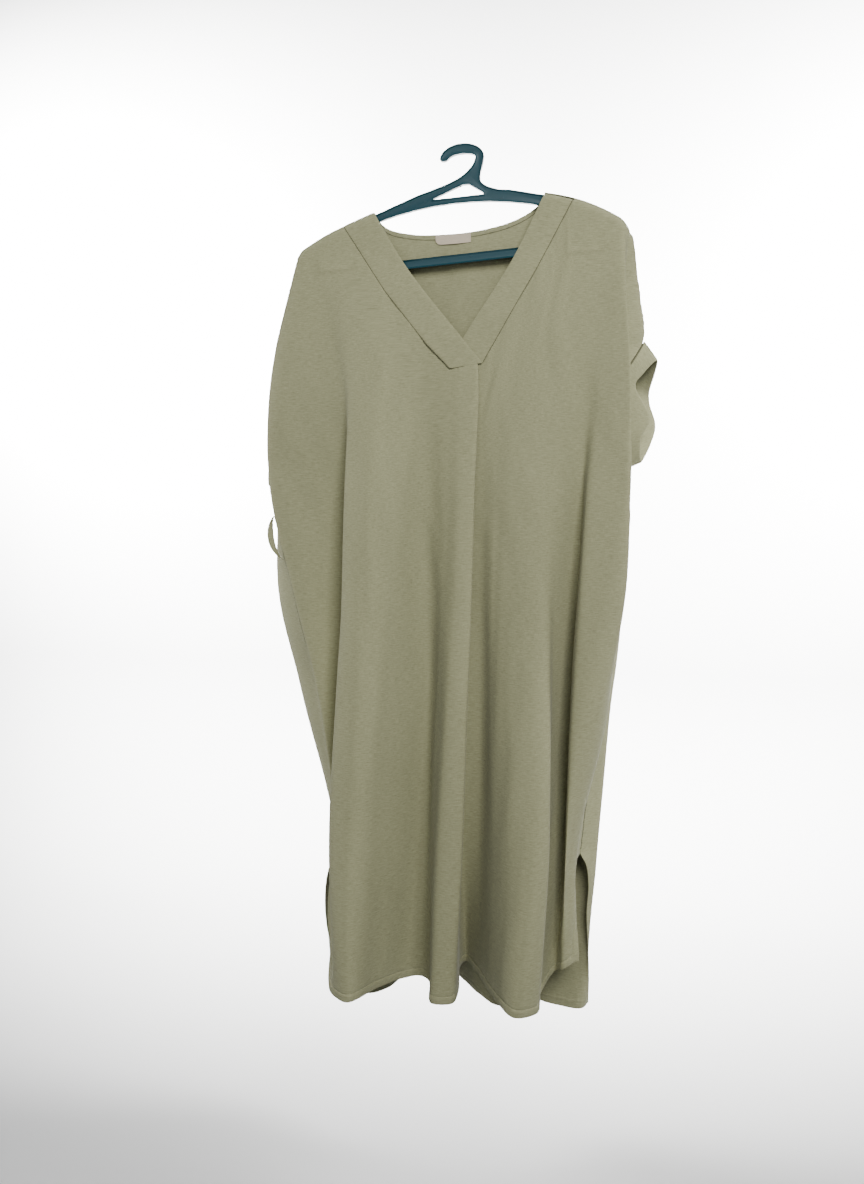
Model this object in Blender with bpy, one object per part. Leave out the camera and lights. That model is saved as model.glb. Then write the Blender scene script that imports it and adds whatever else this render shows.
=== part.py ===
"""Loose dress with a V neck, cap sleeves and side slits, hung on a moulded hanger.

Frame: metres, +Z up, +X to the right of someone who faces the front, front towards -Y.
The origin is the inner top of the hook, where a rod carries it.
The dress is cut as a front with a knife pleat, a back, two neck bands, a back neck binding,
two sleeve bands and two belt loops. Every panel is a thin wall through level sections of the
hung cloth. Each section is a smooth curve through the fold lines, one table row for each fold.
Sizes in the tables are millimetres.
"""
import math

import bpy
import bmesh
import numpy as np

MM = 0.001

# Cloth thicknesses and seam gap.
PANEL_WALL = 1.2 * MM
HEM_WALL = 1.9 * MM
BAND_WALL = 2.0 * MM
CUFF_WALL = 1.8 * MM
BINDING_WALL = 1.8 * MM
LABEL_WALL = 1.0 * MM
LOOP_WALL = 1.2 * MM
SEAM_GAP = 0.3 * MM
CUFF_GAP = 1.2 * MM
HEM_TURN = 11.0 * MM

# Hanger: one moulding, drawn in its own upright frame and turned about the hook.
HANGER_TILT = math.radians(4.6)
HANGER_MIDDLE = -16.0 * MM
HANGER_HALF_WIDTH = 210.0 * MM
HANGER_DEPTH = 7.0 * MM
RIM_WIDTH = 2.0 * MM
WEB_RECESS = 2.4 * MM
ARM_TOP_Z = -31.5 * MM
# Each arm, left then right: slope, where its bow starts from the middle, and the bow.
ARMS = {-1: (0.302, 150.0 * MM, 2.2), 1: (0.272, 135.0 * MM, 2.6)}
TIP_CORNER = (8.0 * MM, 9.0 * MM)
TIP_CORNER_STEP = 0.5 * MM
TIP_TOP_TURN = 60
TIP_TOP_INSET = 6.0 * MM
TIP_MIDDLE_INSET = 8.0 * MM
GAP_END_INSET = 11.0 * MM
ARM_STARTS = {-1: 45.0 * MM, 1: 75.0 * MM}
HOOK_LIP_MIDDLE = (-23.2 * MM, -4.2 * MM)
HOOK_LIP_SIZE = (5.4 * MM, 2.8 * MM)
HOOK_OUTER_SWEEP = (172, 4)
HOOK_INNER_SWEEP = (0, 160)
HOOK_LIP_SWEEP = (-20, -160)
SHARP_EDGE = 40
ARM_LOWER_CROWN = -60.5 * MM
ARM_LOWER_BOW = 1.18
BAR_TOP = -125.0 * MM
BAR_BOTTOM = -136.5 * MM
END_RADIUS = 16.0 * MM
HOOK_OUTER = (29.0 * MM, 18.5 * MM)
HOOK_INNER = (18.0 * MM, 6.0 * MM)
HOOK_MIDDLE_Z = -6.0 * MM
STEM_OUTER = ((29, -6), (27, -15), (22.5, -28), (22.5, -37), (30, -44), (45, -49.9))
STEM_INNER = ((-45, -41.5), (-20, -35), (-3, -28.5), (8, -21), (14.5, -14), (18, -6))
CUTOUT = ((-41, -53), (-40, -51.5), (-1, -38.5), (7, -39), (24.5, -51), (24.5, -53.5))

# How the cloth sits on the hanger.
SHOULDER_REST = 3.6 * MM
SHOULDER_ROLL = 11.0 * MM
# Where the cloth starts to round down, past the tip of each arm.
TIP_START = {-1: -6.0 * MM, 1: 2.0 * MM}
TIP_ROUND = 15.0 * MM

# Neck, in the hung dress: (across, height).
BAND_SHOULDER_LEFT = (-158.0, -116.0)
BAND_SHOULDER_RIGHT = (145.0, 108.0)
BAND_SEAM_LEFT = ((-158, -85.8), (-101, -172), (-43, -244), (-13, -274))
BAND_SEAM_RIGHT = ((31, -267), (68, -203), (102, -145), (145, -64))
BAND_EDGE_LEFT = ((-116, -69.3), (-71, -142), (4, -235), (31, -267))
BAND_EDGE_RIGHT = ((-10, -262), (4, -235), (67, -137), (108, -55.3))
LAP_START = 200.0 * MM
LAP_EASE = 35.0 * MM
LAP_SHIFT = 1.6 * MM
BACK_NECK = (
    (-116, -69.3), (-110, -80), (-98, -89), (-66, -96.5), (-36, -98), (16, -95), (66, -84), (95, -69), (108, -55.3),
)
BINDING_WIDTH = 7.0 * MM
LABEL_SIZE = (47.0 * MM, 12.0 * MM)
LABEL_DROP = 1.0 * MM
LABEL_MIDDLE = -12.0 * MM

# Level sections of the hung cloth: heights, and the folds that cross them.
LEVELS = (-120, -290, -430, -570, -720, -930)
FRONT_HEM = -1130
BACK_HEM = -1180
# Rounded corners of the front's hem: the left one's radius, the right one's width and rise.
FRONT_CORNER_LEFT = 45.0 * MM
FRONT_CORNER_RIGHT = 72.0 * MM
FRONT_CORNER_RISE = 45.0 * MM

# extra columns beside the bands' shoulder corners, mm from the corner, and the spacing of the rest
FRONT_CORNER_MARKS = (0, 1, 2.5, 5, 11)
BACK_CORNER_MARKS = (0, 0.7, 3, 8, 15)
CLOSEST_COLUMNS = 0.06
SHORT_SPAN = 0.3
PITCH_HEIGHTS = (-430, -720, -930, -1100)

# Front folds from left to right, (across, depth) at yoke, chest, underarm, waist, hip, knee, hem.
FRONT_FOLDS = (
    ("left side", (-217, -8), (-262, -7), (-267, -6), (-236, -10), (-198, -18), (-174, -26), (-180, -55)),
    ("left trough", (-196, -9), (-161, -13), (-152, -3), (-152, 4), (-157, 0), (-156, -20), (-171, -84)),
    ("left fold edge", (-166, -9), (-146, -24), (-152, -32), (-156, -43), (-163, -56), (-172, -74), (-158, -100)),
    ("left fold crest", (-130, -9), (-114, -28), (-122, -43), (-128, -55), (-134, -69), (-144, -88), (-139, -111)),
    ("left flank", (-88, -9), (-76, -20), (-82, -30), (-86, -37), (-90, -45), (-96, -56), (-103, -62)),
    ("left valley", (-50, -9), (-46, -15.5), (-45, -14), (-43, -12), (-41, -10), (-46, -13), (-56, -26)),
    ("pleat flank", (-25, -9), (-16, -17), (-16, -24), (-18, -32), (-25, -37), (-33, -39), (-37, -38)),
    ("pleat crest", (-6, -9), (4, -19), (3, -32), (0, -46), (-8, -60), (-19, -76), (-25, -95)),
    ("pleat edge", (8, -9), (25, -19.5), (22, -30), (20, -42), (16.5, -56), (12, -76), (2, -92)),
    ("pleat turn", (9, -8.5), (25, -17), (21, -26), (18, -35), (13, -45), (9, -58), (7, -62)),
    ("underlay edge", (10, -8), (-18, -14.2), (-14, -19), (-8, -24), (-4, -24), (0, -14), (1, 10)),
    ("underlay turn", (11, -7.5), (-18, -11.6), (-12, -15), (-5, -18), (0, -18), (7, -6), (8, 27)),
    ("underlay base", (30, -8), (28, -15), (28, -15), (29, -13), (31, -12), (31, -12), (26, -2)),
    ("recess edge", (55, -9), (47, -17), (48, -22), (50, -28), (53, -40), (56, -52), (53, -60)),
    ("main fold crest", (92, -9), (92, -20), (96, -32), (99, -45), (102, -64), (104, -92), (90, -114)),
    ("main fold edge", (120, -9), (118, -20), (119, -30), (121, -42), (125, -56), (129, -80), (118, -98)),
    ("main fold back", (134, -9), (134, -19), (134, -25), (132, -31), (130, -38), (127, -48), (120, -52)),
    ("right valley", (152, -9), (166, -16), (164, -11), (160, -2), (155, 2), (151, -6), (138, -32)),
    ("right fold edge", (180, -9), (187, -21), (174, -32), (166, -42), (159, -50), (152, -50), (150, -46)),
    ("front edge", (209, -10), (222, -31), (225, -39), (222, -40), (194, -40), (157, -42), (159, -45)),
    ("side valley", (216, -4), (196, -4), (203, -4), (212, -6), (206, -10), (166, -24), (167, -41)),
)

# Back folds from left to right, at the same levels.
BACK_FOLDS = (
    ("left side", (-214, 9), (-208, 68), (-254, 44), (-272, 40), (-243, 42), (-193, 40), (-164, 20)),
    ("left crest", (-200, 10), (-188, 76), (-222, 78), (-222, 84), (-202, 84), (-160, 66), (-136, 2)),
    ("left valley", (-172, 10), (-166, 48), (-186, 56), (-176, 56), (-160, 58), (-124, 48), (-110, 20)),
    ("left middle crest", (-110, 10), (-112, 34), (-118, 56), (-112, 68), (-104, 84), (-84, 102), (-60, 120)),
    ("centre valley", (-40, 10), (-42, 26), (-42, 34), (-38, 38), (-26, 40), (6, 36), (60, -2)),
    ("right middle crest", (40, 10), (36, 30), (38, 48), (40, 62), (42, 76), (56, 84), (88, 44)),
    ("right valley", (120, 10), (118, 32), (112, 40), (106, 44), (102, 46), (104, 42), (114, 24)),
    ("right crest", (188, 10), (190, 58), (186, 74), (178, 78), (166, 74), (152, 54), (150, 10)),
    ("right side", (210, 9), (214, 54), (222, 68), (221, 62), (211, 44), (197, 34), (178, 9)),
)

# Where front and back end: height, front (across, depth), back (across, depth).
# The two are one line along the sleeve's ridge and the side seam. They part round the
# sleeve's opening and below the slit's top.
LEFT_EDGE = (
    (-110, (-218, 0), (-218, 0)),
    (-138, (-225, 0.5), (-225, 0.5)),
    (-162, (-232, 12), (-232, 12)),
    (-190, (-239, 28), (-239, 28)),
    (-238, (-244, 45), (-244, 45)),
    (-264, (-245, 44), (-238, 62)),
    (-290, (-246, 43), (-230, 73)),
    (-330, (-247, 42), (-231, 75)),
    (-370, (-254, 32), (-242, 60)),
    (-405, (-260, 14), (-252, 38)),
    (-430, (-262, 12), (-262, 12)),
    (-500, (-257, 0), (-257, 0)),
    (-560, (-242, 0), (-242, 0)),
    (-630, (-226, 0), (-226, 0)),
    (-700, (-208, 2), (-208, 2)),
    (-780, (-196, 3), (-196, 3)),
    (-860, (-185, 5), (-185, 5)),
    (-950, (-174, 8), (-174, 8)),
    (-990, (-184, -10), (-194, 12)),
    (-1040, (-186, -26), (-202, 12)),
    (-1085, (-182, -38), (-199, 10)),
    (-1180, (-170, -48), (-172, 8)),
)
RIGHT_EDGE = (
    (-85, (216, 0), (216, 0)),
    (-110, (222, 0.5), (222, 0.5)),
    (-145, (227, 9), (227, 9)),
    (-190, (235, 19), (235, 19)),
    (-238, (240, 28), (240, 28)),
    (-264, (226, 14), (236, 46)),
    (-290, (209, 6), (228, 54)),
    (-330, (219, 18), (233, 60)),
    (-370, (217, 28), (229, 60)),
    (-405, (224, 48), (224, 48)),
    (-500, (220, 34), (220, 34)),
    (-630, (216, 20), (216, 20)),
    (-700, (204, 18), (204, 18)),
    (-780, (193, 16), (193, 16)),
    (-860, (180, 13), (180, 13)),
    (-945, (172, 6), (172, 6)),
    (-962, (161, -4), (180, 10)),
    (-990, (165, -10), (184, 11)),
    (-1035, (169, -22), (183, 11)),
    (-1085, (173, -33), (186, 11)),
    (-1125, (173, -35), (188, 14)),
    (-1180, (173, -35), (188, 27)),
)

# Free edge of each sleeve band, (across, depth, height): its top, down the front lip, the
# underarm, and up the back lip, one point for each row of the panels that it is sewn to.
LEFT_CUFF_EDGE = (
    (-256, 65, -261), (-261, 63, -283), (-264, 66, -306), (-267, 62, -341), (-277, 52, -376), (-280, 32, -407),
    (-279, 31, -432), (-274, 62, -411), (-261, 84, -378), (-250, 99, -338), (-247, 97, -302), (-253, 83, -282),
)
RIGHT_CUFF_EDGE = (
    (259, 36, -262), (240, 24, -281), (231, 20, -299), (252, 38, -337), (241, 38, -364),
    (244, 58, -396), (262, 78, -352), (253, 74, -318), (252, 66, -300), (257, 54, -281),
)

# Belt loops: bulge of the strip away from the side seam at the middle of its length.
LOOP_WIDTH = 9.0 * MM
LOOP_STAND = 0.5 * MM
LOOP_TACK = 2.4 * MM
LOOP_ROWS = 13
LOOP_STAND_POWER = 0.6
LOOP_WIDEN_POWER = 0.5
LOOP_PATHS = (
    ("belt_loop_left", -1, (-472.0, -533.0), 10.0, 1.35),
    ("belt_loop_right", 1, (-445.0, -509.0), 15.0, 0.0),
)

# Rows of the panels: drops below the upper edge, then heights down to the slit's top, then
# shares of the slit.
ROW_DROPS = (0, 1, 3, 7, 16)
ROW_HEIGHTS = (
    -162, -195, -238, -264, -290, -330, -370, -405, -430, -500, -560, -630, -700, -780, -860, -945,
)
ROW_SHARES = (0.07, 0.22, 0.48, 0.74)
COLUMN_PITCH = 17.0 * MM

# Finishes: colour, roughness.
SAGE_CLOTH = ((0.34, 0.36, 0.24, 1.0), 0.92)
LABEL_CLOTH = ((0.72, 0.66, 0.55, 1.0), 0.85)
TEAL_PLASTIC = ((0.02, 0.12, 0.15, 1.0), 0.35)


def material(name, finish):
    """A Principled material with one colour and roughness."""
    colour, roughness = finish
    result = bpy.data.materials.new(name)
    result.use_nodes = True
    shader = result.node_tree.nodes["Principled BSDF"]
    shader.inputs["Base Color"].default_value = colour
    shader.inputs["Roughness"].default_value = roughness
    shader.inputs["Metallic"].default_value = 0.0
    result.diffuse_color = colour
    return result


def add_object(name, vertices, faces, finish_material):
    """Puts a closed mesh in the scene with its faces pointing out."""
    mesh = bpy.data.meshes.new(name)
    mesh.from_pydata([tuple(v) for v in vertices], [], [tuple(f) for f in faces])
    work = bmesh.new()
    work.from_mesh(mesh)
    bmesh.ops.recalc_face_normals(work, faces=work.faces)
    if work.calc_volume(signed=True) < 0:
        bmesh.ops.reverse_faces(work, faces=work.faces)
    work.to_mesh(mesh)
    work.free()
    mesh.materials.append(finish_material)
    mesh.shade_smooth()
    mesh.set_sharp_from_angle(angle=math.radians(50))
    result = bpy.data.objects.new(name, mesh)
    bpy.context.collection.objects.link(result)
    return result


def curve_through(points, parameter):
    """Smooth curve through points of shape (n, places, 2), read at one parameter for each n.

    Returns the places and the directions there. A Catmull-Rom curve with knots spaced by the
    square root of the chords, so that close points make a tight turn and not a loop. The first
    and last points are guides only: parameter 0 is point 1, and whole numbers are the points
    after it.
    """
    step = np.diff(points, axis=1)
    chord = np.sqrt(np.maximum(np.linalg.norm(step, axis=-1), 1e-9))[..., None]
    slope = step / chord
    tangent = slope[:, :-1] - (step[:, :-1] + step[:, 1:]) / (chord[:, :-1] + chord[:, 1:]) + slope[:, 1:]
    inner = points[:, 1:-1]
    row = np.arange(len(points))
    index = np.clip(np.floor(parameter).astype(int), 0, inner.shape[1] - 2)
    t = (parameter - index)[:, None]
    start, end = inner[row, index], inner[row, index + 1]
    span = chord[row, index + 1]
    leave, arrive = tangent[row, index] * span, tangent[row, index + 1] * span
    t2, t3 = t * t, t * t * t
    place = ((2 * t3 - 3 * t2 + 1) * start + (t3 - 2 * t2 + t) * leave
             + (3 * t2 - 2 * t3) * end + (t3 - t2) * arrive)
    direction = ((6 * t2 - 6 * t) * start + (3 * t2 - 4 * t + 1) * leave
                 + (6 * t - 6 * t2) * end + (3 * t2 - 2 * t) * arrive)
    return place, direction


def smooth_between(heights, values, z):
    """Smooth interpolation of table values (n, k) at heights that fall, read at heights z."""
    heights = np.asarray(heights, float)
    values = np.asarray(values, float)
    step = np.diff(values, axis=0) / np.diff(heights)[:, None]
    width = np.diff(heights)[:, None]
    slope = np.zeros_like(values)
    slope[1:-1] = (step[:-1] * width[1:] + step[1:] * width[:-1]) / (width[:-1] + width[1:])
    slope[0], slope[-1] = step[0], step[-1]
    z = np.clip(np.asarray(z, float), heights[-1], heights[0])
    index = np.clip(np.searchsorted(-heights, -z, side="right") - 1, 0, len(heights) - 2)
    span = (heights[index + 1] - heights[index])[..., None]
    t = ((z - heights[index])[..., None]) / span
    t2, t3 = t * t, t * t * t
    return ((2 * t3 - 3 * t2 + 1) * values[index] + (t3 - 2 * t2 + t) * span * slope[index]
            + (3 * t2 - 2 * t3) * values[index + 1] + (t3 - t2) * span * slope[index + 1])


def straight_between(table, z, side):
    """The edge table read at heights z, in straight runs; side 1 is the front, 2 the back."""
    heights = np.array([row[0] for row in table], float)
    pairs = np.array([row[side] for row in table], float)
    z = np.asarray(z, float)
    return np.stack([np.interp(-z, -heights, pairs[:, k]) for k in (0, 1)], -1)


def fold_stations(folds, hem, z):
    """Every fold's (across, depth) at heights z, as an array (..., folds, 2)."""
    heights = LEVELS + (hem,)
    return np.stack([smooth_between(heights, row[1:], z) for row in folds], -2)


def section(z, side):
    """The guide points of one panel's level section at heights z (mm), edges and guides included."""
    z = np.asarray(z, float)
    own, other = (FRONT_FOLDS, BACK_FOLDS) if side == 1 else (BACK_FOLDS, FRONT_FOLDS)
    own_hem, other_hem = (FRONT_HEM, BACK_HEM) if side == 1 else (BACK_HEM, FRONT_HEM)
    inner = fold_stations(own, own_hem, z)
    beyond = fold_stations(other, other_hem, z)
    ends = []
    for table, near, far in ((LEFT_EDGE, inner[..., 0, :], beyond[..., 0, :]),
                             (RIGHT_EDGE, inner[..., -1, :], beyond[..., -1, :])):
        edge = straight_between(table, z, side)
        parted = np.linalg.norm(straight_between(table, z, 1) - straight_between(table, z, 2), axis=-1)
        free = np.clip(parted / 8.0, 0.0, 1.0)[..., None]
        guide = (1 - free) * far + free * (2 * edge - near)
        ends.append((edge, guide))
    (left, left_guide), (right, right_guide) = ends
    return np.concatenate([left_guide[..., None, :], left[..., None, :], inner,
                           right[..., None, :], right_guide[..., None, :]], -2)


def resample(points, shares):
    """A polyline read at shares of its length."""
    points = np.asarray(points, float)
    run = np.concatenate([[0.0], np.cumsum(np.linalg.norm(np.diff(points, axis=0), axis=1))])
    return np.stack([np.interp(shares * run[-1], run, points[:, k]) for k in range(points.shape[1])], -1)


def smooth_line(points, count=40):
    """A smooth polyline through a few drawn points."""
    points = np.asarray(points, float)
    guides = np.concatenate([[2 * points[0] - points[1]], points, [2 * points[-1] - points[-2]]])
    s = np.linspace(0, len(points) - 1, count)
    return curve_through(np.broadcast_to(guides, (count,) + guides.shape), s)[0]


def tilt(across, height):
    """A point of the upright hanger, turned about the hook."""
    c, s = math.cos(HANGER_TILT), math.sin(HANGER_TILT)
    return across * c - height * s, across * s + height * c


def arm_drop(distance, sign):
    """How far an arm's upper edge lies below its inner end, at a distance from the middle."""
    slope, start, bow = ARMS[sign]
    return slope * distance + bow * np.maximum(distance - start, 0.0) ** 2


def shoulder_height(x):
    """Height of the cloth over the hanger's arms, rounding down past the tips (metres)."""
    x = np.asarray(x, float)
    middle = tilt(HANGER_MIDDLE, ARM_TOP_Z)[0]
    result = np.empty_like(x)
    for sign in (-1, 1):
        slope, _, _ = ARMS[sign]
        inner = tilt(HANGER_MIDDLE, ARM_TOP_Z)
        outer = tilt(HANGER_MIDDLE + sign * HANGER_HALF_WIDTH, ARM_TOP_Z - slope * HANGER_HALF_WIDTH)
        pitch = (outer[1] - inner[1]) / (outer[0] - inner[0])
        distance = np.abs(x - middle) * HANGER_HALF_WIDTH / abs(outer[0] - middle)
        bow = arm_drop(distance, sign) - slope * distance
        line = inner[1] + pitch * (x - inner[0]) + SHOULDER_REST - bow
        past = np.clip((distance - HANGER_HALF_WIDTH - TIP_START[sign]) / TIP_ROUND, 0.0, 0.98)
        drop = TIP_ROUND * (1 - np.sqrt(1 - past ** 2))
        result = np.where(sign * (x - middle) >= 0, line - drop, result)
    return result


def line_height(points, x):
    """Height of a drawn line (mm points from left to right) at x in metres."""
    points = np.array(points, float) * MM
    return np.interp(x, points[:, 0], points[:, 1])


def front_top(x):
    """Upper edge of the front: shoulders, band seams and the short seam under the V (metres)."""
    x = np.asarray(x, float)
    neck = line_height(BAND_SEAM_LEFT + BAND_SEAM_RIGHT, x)
    on_neck = (x > BAND_SHOULDER_LEFT[0] * MM) & (x < BAND_SHOULDER_RIGHT[0] * MM)
    return np.where(on_neck, np.minimum(neck, shoulder_height(x)), shoulder_height(x))


def back_neck(x):
    """Upper edge of the back neck between the bands' shoulder ends (metres)."""
    line = smooth_line(BACK_NECK, 60) * MM
    return np.interp(x, line[:, 0], line[:, 1])


def binding_width(x):
    """Width of the back neck binding, which narrows into its shoulder ends (metres)."""
    left, right = BAND_SHOULDER_LEFT[1] * MM, BAND_SHOULDER_RIGHT[1] * MM
    inset = np.minimum(np.asarray(x, float) - left, right - np.asarray(x, float))
    return BINDING_WIDTH * np.where(inset > 2 * MM, np.clip(inset / (12 * MM), 0.2, 1.0), 0.0)


def back_top(x):
    """Upper edge of the back panel: shoulders, and the neck below its binding (metres)."""
    x = np.asarray(x, float)
    neck = back_neck(x) - binding_width(x)
    on_neck = (x > (BAND_SHOULDER_LEFT[1] + 0.3) * MM) & (x < (BAND_SHOULDER_RIGHT[1] - 0.3) * MM)
    return np.where(on_neck, np.minimum(neck, shoulder_height(x)), shoulder_height(x))


def cross(s, z, side):
    """Column s of a panel at height z: places and directions across, in metres."""
    s, z = np.broadcast_arrays(np.asarray(s, float), np.asarray(z, float))
    place, direction = curve_through(section(z.ravel() / MM, side), s.ravel())
    shape = s.shape + (2,)
    return place.reshape(shape) * MM, direction.reshape(shape) * MM


def column_top(s, side):
    """Height at which column s meets the panel's upper edge."""
    top = front_top if side == 1 else back_top
    z = np.full(np.shape(s), -0.12)
    for _ in range(16):
        z = 0.3 * z + 0.7 * top(cross(s, z, side)[0][..., 0])
    return z


def columns_at(goals, low, high, side):
    """The columns between low and high whose tops lie at the given x in millimetres."""
    s = np.linspace(low, high, 241)
    x = cross(s, column_top(s, side), side)[0][:, 0]
    return list(np.interp(np.array(goals) * MM, np.maximum.accumulate(x), s))


def panel_columns(side):
    """Column parameters of a panel: one on every fold and corner, evenly filled between."""
    folds = FRONT_FOLDS if side == 1 else BACK_FOLDS
    last = len(folds) + 1
    if side == 1:
        corner_left, corner_right = BAND_SHOULDER_LEFT[0], BAND_SHOULDER_RIGHT[0]
        corners = columns_at([corner_left + d for d in FRONT_CORNER_MARKS], 2, 5, side)
        corners += columns_at([BAND_SEAM_LEFT[-1][0]], 6, 8, side)
        corners += columns_at([BAND_SEAM_RIGHT[0][0]], 13, 14, side)
        corners += columns_at([corner_right - d for d in FRONT_CORNER_MARKS[::-1]], 15, 19, side)
    else:
        corner_left, corner_right = BAND_SHOULDER_LEFT[1], BAND_SHOULDER_RIGHT[1]
        corners = columns_at([corner_left + d for d in BACK_CORNER_MARKS], 3, 5, side)
        corners += columns_at([corner_right - d for d in BACK_CORNER_MARKS[::-1]], 6, 8, side)
    marks = [(mark, True) for mark in corners] + [(float(mark), False) for mark in range(last + 1)]
    kept = []
    for mark, fixed in sorted(marks):
        if not kept or mark - kept[-1][0] > CLOSEST_COLUMNS or (fixed and kept[-1][1]):
            kept.append((mark, fixed))
        elif fixed:
            kept[-1] = (mark, True)
    kept = [mark for mark, _ in kept]
    columns = [kept[0]]
    sample = np.linspace(0, 1, 9)
    for start, end in zip(kept[:-1], kept[1:]):
        s = start + (end - start) * sample
        longest = 0.0
        for z in PITCH_HEIGHTS:
            line = cross(s, np.full(s.shape, z * MM), side)[0]
            longest = max(longest, np.linalg.norm(np.diff(line, axis=0), axis=1).sum())
        count = max(1 if end - start < SHORT_SPAN else 2, int(math.ceil(longest / COLUMN_PITCH)))
        columns += list(start + (end - start) * np.arange(1, count + 1) / count)
    return np.array(columns)


def hem_heights(s, side):
    """Height of the hem below each column: level, with rounded corners on the front."""
    hem = (FRONT_HEM if side == 1 else BACK_HEM) * MM
    bottom = np.full(s.shape, hem)
    if side == 1:
        line = cross(s, bottom, side)[0]
        run = np.concatenate([[0.0], np.cumsum(np.linalg.norm(np.diff(line, axis=0), axis=1))])
        left = np.clip(1 - run / FRONT_CORNER_LEFT, 0.0, 1.0)
        right = np.clip(1 - (run[-1] - run) / FRONT_CORNER_RIGHT, 0.0, 1.0)
        bottom = hem + FRONT_CORNER_LEFT * (1 - np.sqrt(1 - left ** 2))
        bottom += FRONT_CORNER_RISE * np.sin(right * np.pi / 2)
    return bottom


def row_heights(top, bottom):
    """Heights of every grid point, (columns, rows), between the columns' ends."""
    drops = np.array(ROW_DROPS) * MM
    fixed = np.array(ROW_HEIGHTS) * MM
    upper = top[:, None] - drops
    level = np.linspace(upper[0, -1], upper[-1, -1], len(top))[:, None]
    share = (fixed - level) / (fixed[-1] - level)
    body = upper[:, -1:] + share * (fixed[-1] - upper[:, -1:])
    slit = np.array(ROW_SHARES)
    turn = 1 - HEM_TURN / (fixed[-1] - bottom)
    lower = fixed[-1] + np.concatenate([np.broadcast_to(slit, (len(top), len(slit))),
                                        turn[:, None], np.ones((len(top), 1))], 1) * (bottom - fixed[-1])[:, None]
    return np.concatenate([upper, body, lower], 1)


def unit(vector):
    """The vector, or array of vectors, at length one."""
    return vector / np.maximum(np.linalg.norm(vector, axis=-1, keepdims=True), 1e-12)


def seam_normal(x):
    """Unit normal of the line over the hanger's arms at x, upright and square to its slope."""
    step = 0.5 * MM
    slope = (shoulder_height(x + step) - shoulder_height(x - step)) / (2 * step)
    return unit(np.stack([-slope, np.zeros_like(x), np.ones_like(x)], -1))


def mitre(front, back):
    """Gives front and back one shared normal wherever their edges meet."""
    for column in (0, -1):
        together = np.linalg.norm(front.grid[column] - back.grid[column], axis=-1) < 2 * MM
        shared = unit(front.normal[column] + back.normal[column])
        front.normal[column][together] = shared[together]
        back.normal[column][together] = shared[together]


class Panel:
    """One panel's middle surface, with its outward normals."""

    def __init__(self, side):
        self.side = side
        self.s = panel_columns(side)
        self.top = column_top(self.s, side)
        z = row_heights(self.top, hem_heights(self.s, side))
        place, direction = cross(self.s[:, None], z, side)
        self.grid = np.concatenate([place, z[..., None]], -1)
        across = np.concatenate([direction, np.zeros_like(z)[..., None]], -1)
        # Over the arms the cloth rolls in to meet the other panel at the shoulder seam.
        drop = np.clip((shoulder_height(self.grid[..., 0]) - z) / SHOULDER_ROLL, 0.0, 1.0)
        roll = np.sqrt(1 - (1 - drop) ** 2)
        half_gap = np.full(z.shape, SEAM_GAP / 2 * (-1 if side == 1 else 1))
        half_gap[0], half_gap[-1] = 0.0, 0.0
        self.grid[..., 1] = half_gap + (self.grid[..., 1] - half_gap) * roll
        rolled = (roll < 0.98)[..., None]
        across = np.where(rolled, np.gradient(self.grid, self.s, axis=0), across)
        down = np.gradient(self.grid, axis=1)
        outward = -1 if side == 1 else 1
        normal = unit(np.cross(across, down)) * outward
        normal[:, 0] = unit(seam_normal(self.grid[:, 0, 0]) * (1 - roll[:, :1]) + normal[:, 0] * roll[:, :1])
        self.normal = normal

    def column(self, x, row=0):
        """Index of the column whose point on the given row is nearest to x."""
        return int(np.argmin(np.abs(self.grid[:, row, 0] - x)))


def wall_mesh(grid, wall, normals, closed=False):
    """Vertices and faces of a closed wall round a middle surface (columns, rows, 3)."""
    columns, rows = grid.shape[:2]
    half = np.broadcast_to(np.asarray(wall, float), grid.shape[:2])[..., None] / 2
    outer = (grid + normals * half).reshape(-1, 3)
    inner = (grid - normals * half).reshape(-1, 3)
    vertices = np.concatenate([outer, inner])
    size = columns * rows

    def at(i, j, layer):
        return layer * size + (i % columns) * rows + j

    faces = []
    for i in range(columns if closed else columns - 1):
        for j in range(rows - 1):
            faces.append((at(i, j, 0), at(i, j + 1, 0), at(i + 1, j + 1, 0), at(i + 1, j, 0)))
            faces.append((at(i, j, 1), at(i + 1, j, 1), at(i + 1, j + 1, 1), at(i, j + 1, 1)))
        faces.append((at(i, 0, 0), at(i + 1, 0, 0), at(i + 1, 0, 1), at(i, 0, 1)))
        last = rows - 1
        faces.append((at(i, last, 0), at(i, last, 1), at(i + 1, last, 1), at(i + 1, last, 0)))
    if not closed:
        end = columns - 1
        for j in range(rows - 1):
            faces.append((at(0, j, 0), at(0, j, 1), at(0, j + 1, 1), at(0, j + 1, 0)))
            faces.append((at(end, j, 0), at(end, j + 1, 0), at(end, j + 1, 1), at(end, j, 1)))
    return vertices, faces


def surface_normals(grid, closed=False):
    """Unit normals of a grid of points (columns, rows, 3)."""
    if closed:
        along = np.roll(grid, -1, 0) - np.roll(grid, 1, 0)
    else:
        along = np.gradient(grid, axis=0)
    return unit(np.cross(along, np.gradient(grid, axis=1)))


def build_panel(panel, name, cloth):
    """A panel's wall, half a seam gap short of its sides and its upper edge."""
    grid = panel.grid.copy()
    outward = -1.0 if panel.side == 1 else 1.0
    for edge, inner in ((0, 1), (-1, -2)):
        aside = unit(grid[inner] - grid[edge])
        # At the tips of the shoulders the two panels part to the front and the back.
        aside[:len(ROW_DROPS) + 1, 1] += outward
        grid[edge] += unit(aside) * SEAM_GAP / 2
    wall = np.full(grid.shape[:2], PANEL_WALL)
    wall[:, -2:] = HEM_WALL
    vertices, faces = wall_mesh(grid, wall, panel.normal)
    add_object(name, vertices, faces, cloth)


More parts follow.
